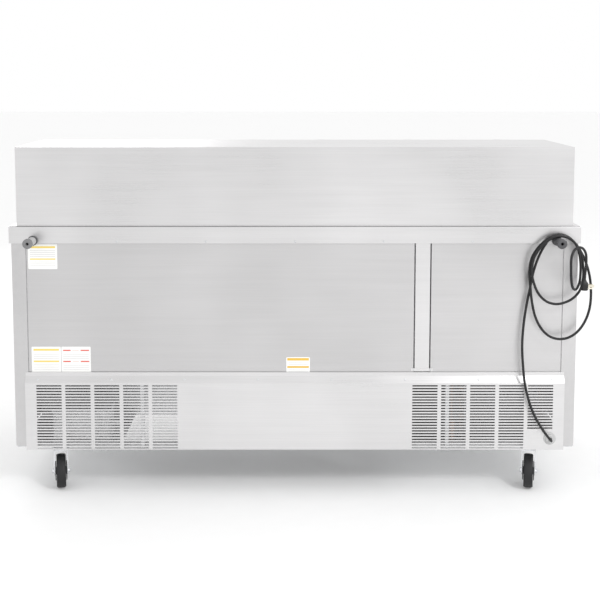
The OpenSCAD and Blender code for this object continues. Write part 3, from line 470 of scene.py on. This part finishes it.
BAND_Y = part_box("worktop")[1].y
PANEL_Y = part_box("louvre_panel")[1].y
bumpers_lo, bumpers_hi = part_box("wall_bumpers")
BUMPER_X = (bumpers_hi.x - bumpers_lo.x) / 2 - 15.5 * MM
BUMPER_Z = (bumpers_lo.z + bumpers_hi.z) / 2
for side, stem, cap in ((1, BUMPER_STEM, BUMPER_CAP), (-1, MATS["bumper_grey"], MATS["bumper_grey"])):
    tag = "right" if side > 0 else "left"
    at = (side * BUMPER_X, BAND_Y, BUMPER_Z)
    bm = bmesh.new()
    add_lathe(bm, "Y", at, [(5, 0.1), (14.6, 0.1), (15.5, 1), (15.5, 5), (14.6, 6), (12.5, 6.4), (5, 6.4)])
    piece(f"bumper_ring_{tag}", bm, "bumper_grey", "cabinet", "wall_bumpers")
    bm = bmesh.new()
    ribs = [(4.4, 6.2), (12, 6.2)]
    for k in range(8):
        y = 9 + 6.6 * k
        ribs += [(12, y), (12.9, y + 0.6), (13, y + 2.4), (12, y + 3)]
    add_lathe(bm, "Y", at, ribs + [(12, 62.4), (4.4, 62.4)])
    piece(f"bumper_stem_{tag}", bm, "bumper_grey", "cabinet", material=stem)
    bm = bmesh.new()
    add_lathe(bm, "Y", at, [
        (4, 60), (12.2, 60), (15, 62), (15.5, 63), (15.5, 71.5), (14.3, 74), (12, 75), (6, 75), (5.2, 74.2),
        (4.2, 73), (4, 68),
    ])
    piece(f"bumper_cap_{tag}", bm, "bumper_grey", "cabinet", material=cap)

gland = centre_of("cord_gland")
gland_at = (gland.x, PANEL_Y, gland.z)
bm = bmesh.new()
add_lathe(bm, "Y", gland_at, [
    (5.2, -12), (9.4, -12), (9.4, 0.1), (18.6, 0.1), (19.4, 0.9), (19.5, 2.4), (18.4, 3.6), (14.6, 4),
    (14.4, 4.6, 1), (14.2, 8.2, 1), (12.8, 9.6), (9, 10), (6.2, 9.6), (5.2, 8),
], 72, lambda a: 1 + 0.022 * math.cos(18 * a))
piece("gland_nut", bm, "gland_grey", "cabinet", "cord_gland")


def add_screw(bm, at, r, lean=0.0):
    """A pan head with a cross cut into it; at is its centre on a face that looks +Y, leant back by lean."""
    steps, cut, arm, high = 20, 0.16 * r, 0.52 * r, 0.48 * r
    place = Matrix.Translation(at) @ Matrix.Rotation(lean, 4, "X")
    ring = [(math.sin(TAU * k / steps), math.cos(TAU * k / steps)) for k in range(steps)]
    rings = [
        [place @ Vector((x * r * k, y, z * r * k)) for x, z in ring]
        for k, y in ((1, 0.02 * MM), (1, 0.18 * r), (0.93, 0.34 * r), (0.76, high))
    ]
    add_loft(bm, rings, caps=False)
    outline = [(cut, cut), (arm, cut), (arm, -cut), (cut, -cut), (cut, -arm), (-cut, -arm),
               (-cut, -cut), (-arm, -cut), (-arm, cut), (-cut, cut), (-cut, arm), (cut, arm)]
    top = [bm.verts.new(place @ Vector((x, high, z))) for x, z in outline]
    deep = [bm.verts.new(place @ Vector((x, high - 0.36 * r, z))) for x, z in outline]
    for i in range(12):
        bm.faces.new((top[i], top[(i + 1) % 12], deep[(i + 1) % 12], deep[i]))
    bm.faces.new(deep)
    bm.verts.ensure_lookup_table()
    rim = [v for v in bm.verts[-(steps * 4 + 24):-24]][-steps:]
    edges = [bm.edges.get((rim[k], rim[(k + 1) % steps])) for k in range(steps)]
    edges += [bm.edges.get((top[k], top[(k + 1) % 12])) for k in range(12)]
    bmesh.ops.triangle_fill(bm, edges=edges, use_beauty=True)


CHASE_X = -0.405
BAND_SCREW_Z = 0.811
LEDGE_SCREW_PITCH = 234 * MM
LEDGE_MID_Y, LEDGE_MID_Z = 0.3774, 0.368  # the middle of the sloping ledge, which goes back 13.2 mm over 20 mm
LEDGE_LEAN = math.atan2(13.2, 20)
bm = bmesh.new()
for x in (-560, -280, 0, 280, 560):
    add_screw(bm, Vector((x * MM, BAND_Y, BAND_SCREW_Z)), 3.8 * MM)
for k in range(-3, 5):
    add_screw(bm, Vector(((k - 0.5) * LEDGE_SCREW_PITCH, LEDGE_MID_Y, LEDGE_MID_Z)), 3.8 * MM, LEDGE_LEAN)
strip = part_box("back_seam_cover")
for x in (-27, 27):
    add_screw(bm, Vector((CHASE_X + x * MM, strip[1].y, 0.397)), 3.2 * MM)
piece("panel_screws", bm, "galvanised", "cabinet", "rear_screws")

# ---------- thin sheets over the foam, and the seal under the hood, a dark strip that also paints the shade of the gap behind the hood ---

# In the rear seams, round the wiring chase, and behind the kick plate's vents
SEAM_X = 0.8485
CHASE_HALF = 0.0278
bm = bmesh.new()
for side in (-1, 1):
    x = side * SEAM_X
    add_box(bm, (x - 0.004, 0.3652, 0.380), (x + 0.004, 0.3657, 0.848))
    x = CHASE_X + side * CHASE_HALF
    add_box(bm, (x - 0.0003, 0.3403, 0.380), (x + 0.0001, 0.3545, 0.848))
add_box(bm, (CHASE_X - CHASE_HALF, 0.3402, 0.380), (CHASE_X + CHASE_HALF, 0.3408, 0.848))
add_box(bm, (-0.884, -0.3182, 0.1505), (0.884, -0.3176, 0.21))
piece("foam_backing", bm, "galvanised", "cabinet")

# The folded steel edge of the hood's opening
TRIM_Y = (-0.0191, -0.0183)
bm = bmesh.new()
add_box(bm, (-0.874, TRIM_Y[0], 1.0838), (0.874, TRIM_Y[1], 1.106), 0.0003)
for side in (-1, 1):
    x0, x1 = sorted((side * 0.8522, side * 0.874))
    add_box(bm, (x0, TRIM_Y[0], 0.8588), (x1, TRIM_Y[1], 1.0838), 0.0003)
piece("hood_edge_trim", bm, "stainless_bright", "cabinet")

# A dark grey strip along the worktop's back edge, behind the hood and out past its ends: partly a rubber seal, partly
# painted shade and painted dark reflection in the gap between hood and worktop
bm = bmesh.new()
add_box(bm, (-0.897, 0.3673, 0.8581), (0.897, 0.3742, 0.8587), 0.0002)
piece("hood_seal_and_gap_shade", bm, "gasket_grey", "cabinet")

# ---------- labels: blank films with plain bars ----------

LABEL_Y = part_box("labels")[1].y


def film(name, x0, x1, z0, z1):
    bm = bmesh.new()
    ring = flat_ring(x1 - x0, z1 - z0, 3, 4)
    mid = Vector(((x0 + x1) / 2, 0, (z0 + z1) / 2))
    add_loft(bm, [[(mid + Vector((x, 0, z))) * MM + Vector((0, y, 0)) for x, z in ring]
                  for y in (LABEL_Y - 0.0005, LABEL_Y)])
    piece(name, bm, "label_white", "cabinet", "labels")


def bars(name, material, rows):
    """Thin printed bars: (x0, x1, z0, z1) each, in mm."""
    bm = bmesh.new()
    for x0, x1, z0, z1 in rows:
        add_box(bm, (x0 * MM, LABEL_Y, z0 * MM), (x1 * MM, LABEL_Y + 0.00012, z1 * MM))
    piece(name, bm, "label_white", "cabinet", material=material)


film("label_upper", 750, 842, 722, 803)
film("label_lower_a", 745, 838, 385, 472)
film("label_lower_b", 650, 743, 385, 472)
film("label_centre", -48, 27, 378.5, 438)
bars("label_bars_yellow", INK_YELLOW, [
    (756, 836, 789, 795), (756, 836, 752, 756), (751, 832, 459, 465), (751, 832, 422, 427),
])
bars("label_bars_gold", INK_GOLD, [(-45, 24, 427, 435), (-45, 24, 403, 409)])
bars("label_bars_red", INK_RED,
     [(x0, x1, z, z + 4) for z in (458, 422) for x0, x1 in ((655, 682), (714, 738))])
bars("label_bars_pink", INK_PINK, [(688, 708, z + 1, z + 3) for z in (458, 422)])
lines = [(756, 836, 780 - 6 * k, 781.6 - 6 * k) for k in range(4)]
lines += [(756, 836, 744 - 6 * k, 745.4 - 6 * k) for k in range(3)]
lines += [(751, 832, 447 - 7 * k, 448.4 - 7 * k) for k in range(3)]
lines += [(751, 832, 412 - 7 * k, 413.4 - 7 * k) for k in range(3)]
lines += [(656, 738, 447 - 7 * k, 448.4 - 7 * k) for k in range(3)]
lines += [(656, 738, 411 - 7 * k, 412.4 - 7 * k) for k in range(3)]
lines += [(-42, 20, 419 - 6 * k, 420.2 - 6 * k) for k in range(2)]
lines += [(-42, 20, 396 - 6 * k, 397.2 - 6 * k) for k in range(3)]
bars("label_lines", INK_GREY, lines)

# ---------- casters ----------

AXLE_UP = 54  # mm
TRAIL = 28  # mm from the swivel axis to the axle
REAR_TOE = 12.6  # degrees
CASTER_X, CASTER_REAR_Y, CASTER_FRONT_Y = 765, 308, -300


def add_bolt(bm, x, y, z, side):
    """A washer and a hexagon nut or head on the outer face of a fork leg."""
    x0 = x + side * 22.6
    add_lathe(bm, "X", (0, y * MM, z * MM), [
        (0, x0 - side * 2), (9, x0 - side * 2), (9, x0), (8.6, x0 + side * 0.9), (0, x0 + side * 0.9)], 28)
    add_lathe(bm, "X", (0, y * MM, z * MM), [
        (0, x0), (7.5, x0), (7.5, x0 + side * 4.8), (6.6, x0 + side * 5.6), (0, x0 + side * 5.7)], 6)
    add_lathe(bm, "X", (0, y * MM, z * MM), [
        (0, x0 + side * 5), (3.6, x0 + side * 5), (3.6, x0 + side * 6.8), (3, x0 + side * 7.3),
        (0, x0 + side * 7.4)], 20)


def caster(tag, x, y, braked, toe):
    """One caster; toe is how far it is turned about its king pin, in degrees."""
    fork, wheel = f"fork_{tag}", f"wheel_{tag}"
    cx, cy = x * MM, y * MM
    pin = Vector((cx, cy, 0))
    turned = Matrix.Translation(pin) @ Matrix.Rotation(math.radians(toe), 4, "Z") @ Matrix.Translation(-pin)

    def fit(name, bm, slot, body, *nodes, material=None):
        """Makes a piece of this caster, turned with it."""
        bmesh.ops.transform(bm, matrix=turned, verts=bm.verts[:])
        piece(name, bm, slot, body, *nodes, material=material)

    bm = bmesh.new()
    add_lathe(bm, "Z", (cx, cy, 0), [
        (0, 117), (16, 117), (24, 119.4), (29, 122), (30, 124.5), (29.4, 127.4), (27, 128), (0, 128)], 48)
    add_lathe(bm, "Z", (cx, cy, 0), [(0, 127), (7, 127), (7, 142), (6, 142.5), (0, 142.5)], 24)
    arc = [(TRAIL + 14.5 * math.cos(a), AXLE_UP + 14.5 * math.sin(a))
           for a in (TAU * (1 / 24 - k / 16) for k in range(10))]
    outline = [(-24, 124), (-26, 118), (-22, 112), (-10, 98), (-1, 82)] + arc[::-1] + [
        (43.5, 74), (41, 96), (34, 116), (31, 124)]
    outline = [(y + a, b) for a, b in outline]
    for s in (-1, 1):
        add_prism(bm, [(a * MM, b * MM) for a, b in outline],
                  (x + s * 21 - 1.5) * MM, (x + s * 21 + 1.5) * MM, 0.0007)
    add_box(bm, ((x - 22.5) * MM, (y - 25) * MM, 0.1195), ((x + 22.5) * MM, (y + 31) * MM, 0.1235), 0.0012)
    for s in (-1, 1):
        add_bolt(bm, x, y + TRAIL, AXLE_UP, s)
    if braked:
        for s in (-1, 1):
            add_prism(bm, [((y - 33) * MM, 0.100), ((y - 31) * MM, 0.114), ((y - 18) * MM, 0.121),
                           ((y - 16) * MM, 0.100), ((y - 24) * MM, 0.095)],
                      (x + s * 21 - 1.5) * MM, (x + s * 21 + 1.5) * MM, 0.0006)
        add_lathe(bm, "X", (0, (y - 24) * MM, 0.106), [
            (0, x - 24.5), (4.4, x - 24.5), (4.4, x - 22.4), (3, x - 22.3), (3, x + 22.3), (4.4, x + 22.4),
            (4.4, x + 24.5), (0, x + 24.5)], 20)
    fit(f"caster_fork_{tag}", bm, "zinc", fork, f"caster_{tag}_fork")

    bm = bmesh.new()
    for s in (-1, 1):
        x0 = x + s * 17.4
        add_lathe(bm, "X", (0, cy + TRAIL * MM, AXLE_UP * MM), [
            (4.4, x0), (28, x0), (31, x0 - s * 1.6), (31.5, x0 - s * 1.2), (29.6, x0 + s * 1.4), (4.4, x0 + s * 2)],
            40)
    fit(f"caster_guard_{tag}", bm, "black_plastic", fork)

    at = (0, cy + TRAIL * MM, AXLE_UP * MM)
    bm = bmesh.new()
    add_lathe(bm, "X", at, [
        (38, x - 12), (40.5, x - 13), (46, x - 14.6), (50, x - 14.8), (52.6, x - 12.5), (53.7, x - 8),
        (54, x - 3), (54, x + 3), (53.7, x + 8), (52.6, x + 12.5), (50, x + 14.8), (46, x + 14.6),
        (40.5, x + 13), (38, x + 12)], 72)
    fit(f"caster_tread_{tag}", bm, "wheel_black", wheel, f"caster_{tag}_wheel")
    bm = bmesh.new()
    add_lathe(bm, "X", at, [
        (4.3, x - 17), (11, x - 17), (12.5, x - 15), (14, x - 6), (32, x - 5), (35, x - 12.6), (37.9, x - 13.2),
        (39, x - 12), (39, x + 12), (37.9, x + 13.2), (35, x + 12.6), (32, x + 5), (14, x + 6),
        (12.5, x + 15), (11, x + 17), (4.3, x + 17)], 56)
    for k in range(8):
        turn = Matrix.Translation(Vector(at) + Vector((cx, 0, 0))) @ Matrix.Rotation(TAU * k / 8, 4, "X")
        add_box(bm, (-0.0115, -0.0013, 0.012), (0.0115, 0.0013, 0.035), 0.0004, turn)
    fit(f"caster_hub_{tag}", bm, "wheel_black", wheel, material=HUB_GREY)

    if braked:
        bm = bmesh.new()
        y0, z0 = y - 24, 106
        add_prism(bm, [((y0 + a) * MM, (z0 + b) * MM) for a, b in (
            (4, -3), (5, 3), (-2, 6.5), (-14, 8), (-26, 10.5), (-35, 10.5), (-36.5, 7), (-35, 5.5),
            (-24, 4), (-10, -1), (-4, -5))], (x - 15) * MM, (x + 15) * MM, 0.0012)
        add_lathe(bm, "X", (0, y0 * MM, z0 * MM), [
            (3.1, x - 18.4), (5.6, x - 18.4), (6, x - 17.8), (6, x + 17.8), (5.6, x + 18.4), (3.1, x + 18.4)], 24)
        for k in range(5):
            add_box(bm, ((x - 12) * MM, (y0 - 33.4 + 4.6 * k) * MM, (z0 + 8.2 - 0.42 * k) * MM),
                    ((x + 12) * MM, (y0 - 31.4 + 4.6 * k) * MM, (z0 + 11.3 - 0.42 * k) * MM), 0.0005)
        fit(f"caster_pedal_{tag}", bm, "brake_red", f"brake_{tag}", f"caster_{tag}_brake")


for tag, x in (("left", -CASTER_X), ("right", CASTER_X)):
    caster(f"rear_{tag}", x, CASTER_REAR_Y, False, math.copysign(REAR_TOE, x))
for tag, x in (("left", -CASTER_X), ("right", CASTER_X)):
    caster(f"front_{tag}", x, CASTER_FRONT_Y, True, 0)

# ---------- pans ----------

RAIL_TOP = 0.8478
bm = bmesh.new()
PAN_RINGS = (
    (324, 172, 13, 0.2), (325, 173, 14, 1.0), (324, 172, 13.6, 1.9), (318, 166, 15, 2.3), (306, 156, 22, 2.2),
    (302.5, 152.5, 22, 1.4), (301, 151, 22, -2), (301, 151, 22, -18), (298.5, 148.5, 22, -20),
    (288, 138, 24, -82), (280, 130, 24, -92), (266, 116, 20, -97.6), (240, 92, 16, -98.6),
)
PAN_WALL = 0.8
PAN_PITCH_X, PAN_PITCH_Y, PAN_MID_Y = 330, 176.5, 70
for i in range(5):
    for k in range(3):
        mid = Vector(((i - 2) * PAN_PITCH_X, PAN_MID_Y + (k - 1) * PAN_PITCH_Y, 0)) * MM
        inner = [[mid + Vector((x * MM, y * MM, RAIL_TOP + z * MM)) for x, y in flat_ring(w, d, r, 5)]
                 for w, d, r, z in PAN_RINGS]
        outer = [[mid + Vector((x * MM, y * MM, RAIL_TOP + (z - PAN_WALL) * MM))
                  for x, y in flat_ring(w + 2 * PAN_WALL * (n > 4), d + 2 * PAN_WALL * (n > 4), r, 5)]
                 for n, (w, d, r, z) in enumerate(PAN_RINGS) if n != 2]
        add_loft(bm, outer[::-1] + inner)
piece("food_pans", bm, "stainless_bright", "cabinet", "pans", angle=50)

# ---------- shelves ----------

shelf_lo, shelf_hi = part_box("shelves")
BAY_PITCH = 594.667
bm = bmesh.new()
for i in (-1, 0, 1):
    x0, x1 = i * BAY_PITCH - 229.5, i * BAY_PITCH + 229.5
    z = shelf_lo.z / MM + 2.5
    y0, y1 = shelf_lo.y / MM + 2.5, shelf_hi.y / MM - 2.5
    loop = [(x0, y0), (x1, y0), (x1, y1), (x0, y1), (x0, y0)]
    add_tube(bm, filleted([(x * MM, y * MM, (z - 0.4) * MM) for x, y in loop], 0.008), 0.0026, 10)
    for y in (y0 + 180, y1 - 180):
        add_tube(bm, [(x0 * MM, y * MM, (z - 0.5) * MM), (x1 * MM, y * MM, (z - 0.5) * MM)], 0.002, 8)
    for k in range(1, 23):
        x = x0 + (x1 - x0) * k / 23
        add_tube(bm, filleted([(x * MM, (y0 - 1) * MM, (z - 1) * MM), (x * MM, (y0 + 4) * MM, (z + 1.2) * MM),
                               (x * MM, (y1 - 4) * MM, (z + 1.2) * MM), (x * MM, (y1 + 1) * MM, (z - 1) * MM)],
                              0.003, 3), 0.0014, 8)
piece("wire_shelves", bm, "shelf_coat", "cabinet", "shelves")

# ---------- cooling parts inside the cabinet ----------

coil_lo, coil_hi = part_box("evaporator_coil")
bm = bmesh.new()
EVAPORATOR_FINS = 62
for k in range(EVAPORATOR_FINS):
    x = coil_lo.x + (coil_hi.x - coil_lo.x) * (k + 0.5) / EVAPORATOR_FINS
    add_box(bm, (x - 0.0003, coil_lo.y, coil_lo.z), (x + 0.0003, coil_hi.y, coil_hi.z))
piece("evaporator_fins", bm, "coil_fins", "cabinet", "evaporator_coil")
bm = bmesh.new()
for k in range(5):
    z = coil_lo.z + 0.02 + k * 0.032
    y = (coil_lo.y + coil_hi.y) / 2
    add_tube(bm, [(coil_lo.x - 0.004, y, z), (coil_hi.x + 0.004, y, z)], 0.0045, 12)
    if k < 4:
        end = coil_hi.x if k % 2 else coil_lo.x
        out = 0.012 if k % 2 else -0.012
        add_tube(bm, filleted([(end, y, z), (end + out, y, z), (end + out, y, z + 0.032), (end, y, z + 0.032)],
                              0.011), 0.0045, 12)
piece("evaporator_pipe", bm, "copper", "cabinet")


def add_fan(bm, at, r, hub, depth, blades):
    """Cupped, swept blades on a domed hub that turns about Y."""
    add_lathe(bm, "Y", at, [
        (0, 0), (hub * 0.7, 0), (hub * 0.95, 1.5), (hub, 4), (hub, depth), (hub - 2, depth), (0, depth - 2)], 40)
    rows, cols, thick = 8, 8, 0.9
    for b in range(blades):
        top, low = [], []
        for i in range(rows + 1):
            u = i / rows
            rad = hub - 1.5 + (r - hub + 1.5) * u
            wide = TAU / blades * (0.62 + 0.18 * math.sin(math.pi * u)) * (1 - 0.25 * u ** 3)
            line_a, line_b = [], []
            for j in range(cols + 1):
                v = j / cols - 0.5
                a = TAU * b / blades + v * wide + 0.28 * u
                y = depth / 2 + v * depth * 0.86 + 2.5 * (0.25 - v * v) * 4 * (0.4 + 0.6 * u)
                for line, lift in ((line_a, thick / 2), (line_b, -thick / 2)):
                    line.append(bm.verts.new(Vector(at) + Vector(
                        (rad * math.sin(a), y + lift, rad * math.cos(a))) * MM))
            top.append(line_a)
            low.append(line_b)
        for i in range(rows):
            for j in range(cols):
                bm.faces.new((top[i][j], top[i][j + 1], top[i + 1][j + 1], top[i + 1][j]))
                bm.faces.new((low[i][j], low[i + 1][j], low[i + 1][j + 1], low[i][j + 1]))
            for j in (0, cols):
                bm.faces.new((top[i][j], top[i + 1][j], low[i + 1][j], low[i][j]))
        for i in (0, rows):
            for j in range(cols):
                bm.faces.new((top[i][j], low[i][j], low[i][j + 1], top[i][j + 1]))


def add_guard(bm, at, radii, out, spokes):
    """A round wire guard: rings and spokes about Y; out is its bulge."""
    rmax = max(radii)
    at = Vector(at)
    for r in radii:
        y = out * (1 - (r / rmax) ** 2)
        loop = [at + Vector((r * math.sin(TAU * k / 40), y, r * math.cos(TAU * k / 40))) * MM for k in range(41)]
        add_tube(bm, loop, 0.001, 6)
    for s in range(spokes):
        a = TAU * (s + 0.5) / spokes
        line = [at + Vector((r * math.sin(a), out * (1 - (r / rmax) ** 2) + 1.6, r * math.cos(a))) * MM
                for r in (min(radii) - 4, min(radii), rmax * 0.5, rmax * 0.8, rmax)]
        add_tube(bm, line, 0.0012, 6)


bm = bmesh.new()
add_fan(bm, (0, 0.264, 0.63), 70, 20, 18, 4)
piece("cabinet_fan_rotor", bm, "black_plastic", "cabinet_fan", "evaporator_fan", angle=50)
bm = bmesh.new()
add_guard(bm, (0, 0.2555, 0.63), (18, 31, 44, 57, 70, 80), -6, 8)
piece("cabinet_fan_guard", bm, "zinc", "cabinet")

# ---------- machine bay ----------

bm = bmesh.new()
add_fan(bm, (-0.68, 0.152, 0.252), 80, 22, 24, 5)
piece("machine_fan_rotor", bm, "coil_fins", "machine_fan", "condenser_fan", angle=50)

cond_lo, cond_hi = Vector((-0.8, 0.2, 0.155)), Vector((-0.56, 0.26, 0.35))
bm = bmesh.new()
CONDENSER_FINS = 68
for k in range(CONDENSER_FINS):
    x = cond_lo.x + 0.004 + (cond_hi.x - cond_lo.x - 0.008) * k / (CONDENSER_FINS - 1)
    add_box(bm, (x - 0.0003, cond_lo.y, cond_lo.z + 0.001), (x + 0.0003, cond_hi.y, cond_hi.z - 0.001))
for x in (cond_lo.x, cond_hi.x - 0.0015):
    add_box(bm, (x, cond_lo.y - 0.0005, cond_lo.z), (x + 0.0015, cond_hi.y + 0.0005, cond_hi.z), 0.0003)
piece("condenser_fins", bm, "coil_fins", "cabinet", "condenser_coil")
bm = bmesh.new()
for y in (cond_lo.y + 0.016, cond_lo.y + 0.044):
    for k in range(6):
        z = 0.172 + 0.032 * k
        ends = (cond_lo.x, cond_hi.x)
        add_tube(bm, [(ends[0] - 0.003, y, z), (ends[1] + 0.003, y, z)], 0.0048, 10)
        if k < 5:
            end, out = (ends[0], -0.013) if k % 2 else (ends[1], 0.013)
            add_tube(bm, filleted([(end, y, z), (end + out, y, z), (end + out, y, z + 0.032),
                                   (end, y, z + 0.032)], 0.012), 0.0048, 10)
piece("condenser_pipe", bm, "copper", "cabinet")
bm = bmesh.new()
add_guard(bm, (-0.68, 0.146, 0.252), (26, 40, 54, 68, 82, 89), -7, 10)
piece("machine_fan_guard", bm, "zinc", "cabinet")

bm = bmesh.new()
cx, cy = -0.44, 0.24
add_lathe(bm, "Z", (cx, cy, 0), [
    (0, 166), (40, 166), (62, 170), (72, 179), (76, 192), (76.5, 232), (79, 233), (79, 241), (76, 242),
    (75.5, 286), (73, 300), (64, 313), (48, 321), (25, 324.5), (0, 325)], 64)
for sx in (-1, 1):
    for sy in (-1, 1):
        add_tube(bm, filleted([(cx + sx * 0.05, cy + sy * 0.05, 0.178), (cx + sx * 0.07, cy + sy * 0.07, 0.165),
                               (cx + sx * 0.094, cy + sy * 0.094, 0.164)], 0.01), 0.0055, 10)
add_box(bm, (cx - 0.095, cy - 0.095, 0.160), (cx + 0.095, cy - 0.055, 0.1635), 0.001)
add_box(bm, (cx - 0.095, cy + 0.055, 0.160), (cx + 0.095, cy + 0.095, 0.1635), 0.001)
add_box(bm, (cx + 0.062, cy - 0.03, 0.215), (cx + 0.105, cy + 0.03, 0.29), 0.004)
piece("compressor_shell", bm, "black_paint", "cabinet", "compressor")
bm = bmesh.new()
for sx in (-1, 1):
    for sy in (-1, 1):
        add_lathe(bm, "Z", (cx + sx * 0.08, cy + sy * 0.08, 0), [
            (0, 145.2), (13.5, 145.2), (14, 147), (12, 150), (11, 153), (13.6, 157), (14, 159.6), (9, 160),
            (9, 166), (11, 166.4), (10.4, 169), (0, 169.4)], 32)
piece("compressor_feet", bm, "gasket_grey", "cabinet")

bm = bmesh.new()
for path, r in (
    ([(-0.47, 0.28, 0.314), (-0.47, 0.28, 0.332), (-0.5, 0.3, 0.345), (-0.53, 0.28, 0.345),
      (-0.54, 0.231, 0.332), (-0.551, 0.231, 0.332)], 0.004),
    ([(-0.551, 0.231, 0.18), (-0.54, 0.235, 0.18), (-0.505, 0.348, 0.18)], 0.004),
    ([(-0.505, 0.348, 0.229), (-0.505, 0.348, 0.369)], 0.004),
    ([(-0.4, 0.27, 0.314), (-0.38, 0.31, 0.34), (-0.385, 0.335, 0.35), (-0.385, 0.345, 0.366)], 0.005),
):
    add_tube(bm, filleted(path, 0.018), r, 14)
add_lathe(bm, "Z", (-0.505, 0.348, 0), [
    (0, 162), (4.4, 162), (4.8, 163), (11, 166), (12, 170), (12, 222), (11, 226), (4.8, 229.5), (4.4, 232), (0, 232)],
    32)
piece("copper_lines", bm, "copper", "cabinet", "refrigerant_tubes")

# ---------- lid handles ----------

LID_PIVOT = Vector((0, -0.055, 1.104))
LID_DIR = Vector((0, -0.569, -0.8225))
LID_OUT = Vector((0, -0.8225, 0.569))
for side, tag in ((-1, "left"), (1, "right")):
    foot = LID_PIVOT + 0.215 * LID_DIR + Vector((side * 0.438, 0, 0))
    wide, out = Vector((0.079, 0, 0)), 0.032 * LID_OUT
    bm = bmesh.new()
    add_tube(bm, filleted([foot - wide, foot - wide + out, foot + wide + out, foot + wide], 0.02, 8), 0.0055, 16)
    for s in (-1, 1):
        base = bmesh.new()
        add_lathe(base, "Z", (0, 0, 0), [(5, 0.1), (11, 0.1), (11, 1.6), (9.6, 2.6), (5, 2.8)], 32)
        turn = Vector((0, 0, 1)).rotation_difference(LID_OUT).to_matrix().to_4x4()
        bmesh.ops.transform(base, matrix=Matrix.Translation(foot + s * wide) @ turn, verts=base.verts[:])
        scratch = bpy.data.meshes.new("scratch")
        base.to_mesh(scratch)
        bm.from_mesh(scratch)
        base.free()
        bpy.data.meshes.remove(scratch)
    piece(f"lid_bow_{tag}", bm, "stainless_bright", f"lid_{tag}", f"lid_{tag}_handle")

# ---------- door gaskets ----------

GASKET = ((0, 0.1), (0, 3), (1.6, 4.2), (1.2, 6), (2.2, 8.6), (4.5, 9.4), (9.5, 9.4), (12.4, 8.4), (12.8, 6),
          (12.4, 4.4), (14, 3), (14, 0.1))
for tag in ("left", "middle", "right"):
    lo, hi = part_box(f"door_{tag}_gasket")
    bm = bmesh.new()
    add_loft(bm, [
        [(lo.x + u * MM, lo.y - 0.0001 + y * MM, lo.z + u * MM), (hi.x - u * MM, lo.y - 0.0001 + y * MM, lo.z + u * MM),
         (hi.x - u * MM, lo.y - 0.0001 + y * MM, hi.z - u * MM), (lo.x + u * MM, lo.y - 0.0001 + y * MM, hi.z - u * MM)]
        for u, y in GASKET
    ], close=True)
    piece(f"door_seal_{tag}", bm, "gasket_grey", f"door_{tag}", f"door_{tag}_gasket")

# ---------- thermostat ----------

KICK_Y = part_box("kick_plate")[0].y
bm = bmesh.new()
dial = (0.7, -0.349, 0.176)
add_lathe(bm, "Y", dial, [
    (0, 8), (4, 8), (4, -4.6), (17.4, -4.6), (18, -5.4), (18, -9, 1), (16.4, -18, 1), (14.8, -20, 1), (0, -20.4)],
    72, lambda a: 1 + 0.028 * math.cos(12 * a))
add_prism(bm, [(-0.3715, 0.164), (-0.3722, 0.190), (-0.3688, 0.192), (-0.3684, 0.162)], 0.6975, 0.7025, 0.0006)
piece("dial_knob", bm, "black_plastic", "dial", "thermostat_dial")
bm = bmesh.new()
for k in range(10):
    turn = Matrix.Translation((0.7, KICK_Y, 0.176)) @ Matrix.Rotation(math.radians(-135 + 30 * k), 4, "Y")
    add_box(bm, (-0.0006, -0.00014, 0.0205), (0.0006, 0.0, 0.0245 if k % 3 else 0.0255), 0, turn)
piece("dial_marks", bm, "black_plastic", "cabinet")

# ---------- small fittings on the electrical box ----------

bm = bmesh.new()
for x in (0.612, 0.69, 0.768):
    add_screw(bm, Vector((x, 0.344, 0.253)), 2.4 * MM)
add_lathe(bm, "X", (0, 0.29, 0.2), [(0, 575), (6, 575), (9, 578), (9, 588), (12, 590), (12, 597), (13, 599), (0, 599)],
          24)
piece("box_fittings", bm, "galvanised", "cabinet")

# ---------- finish of the parts that keep their CAD shape ----------

BEVELS = {"cutting_board": 2.5, "electrical_box": 0.6, "board_brackets": 1.2}
for name, obj in NODES.items():
    obj.data.materials.clear()
    side = name.startswith("side_panel")
    obj.data.materials.append(SIDE_STEEL if side else MATS[SLOT_OF[name]])
    weld = obj.modifiers.new("weld", "WELD")
    weld.merge_threshold = 0.00001
    bevel = obj.modifiers.new("edges", "BEVEL")
    bevel.width = BEVELS.get(name, 0.5) * MM
    bevel.segments = 2
    bevel.limit_method = "ANGLE"
    bevel.angle_limit = math.radians(40)
    bevel.harden_normals = False

# ---------- studio ----------

bm = bmesh.new()
bmesh.ops.create_grid(bm, x_segments=1, y_segments=1, size=40)
floor_mesh = bpy.data.meshes.new("floor")
bm.to_mesh(floor_mesh)
bm.free()
floor = bpy.data.objects.new("floor", floor_mesh)
bpy.context.scene.collection.objects.link(floor)
pale = moulded("floor_pale", (0.85, 0.85, 0.85), 0.8, 60, variation=0.01)
glow = pale.node_tree.nodes["Principled BSDF"].inputs
glow["Emission Color"].default_value = (1, 1, 1, 1)
glow["Emission Strength"].default_value = 0.1
floor_mesh.materials.append(pale)

world = bpy.data.worlds.new("studio")
bpy.context.scene.world = world
world.use_nodes = True
sky = world.node_tree.nodes["Background"]
sky.inputs["Color"].default_value = (1, 1, 1, 1)
sky.inputs["Strength"].default_value = 1.0


def area_light(name, place, target, size, energy):
    data = bpy.data.lights.new(name, "AREA")
    data.shape = "RECTANGLE"
    data.size, data.size_y = size
    data.energy = energy
    obj = bpy.data.objects.new(name, data)
    bpy.context.scene.collection.objects.link(obj)
    obj.location = place
    obj.rotation_euler = (Vector(target) - Vector(place)).to_track_quat("-Z", "Y").to_euler()


area_light("key", (-2.6, 3.4, 3.2), (0, 0.2, 0.6), (1.0, 1.0), 75)
area_light("front", (1.8, -3.6, 2.6), (0, -0.2, 0.6), (2.4, 2), 30)
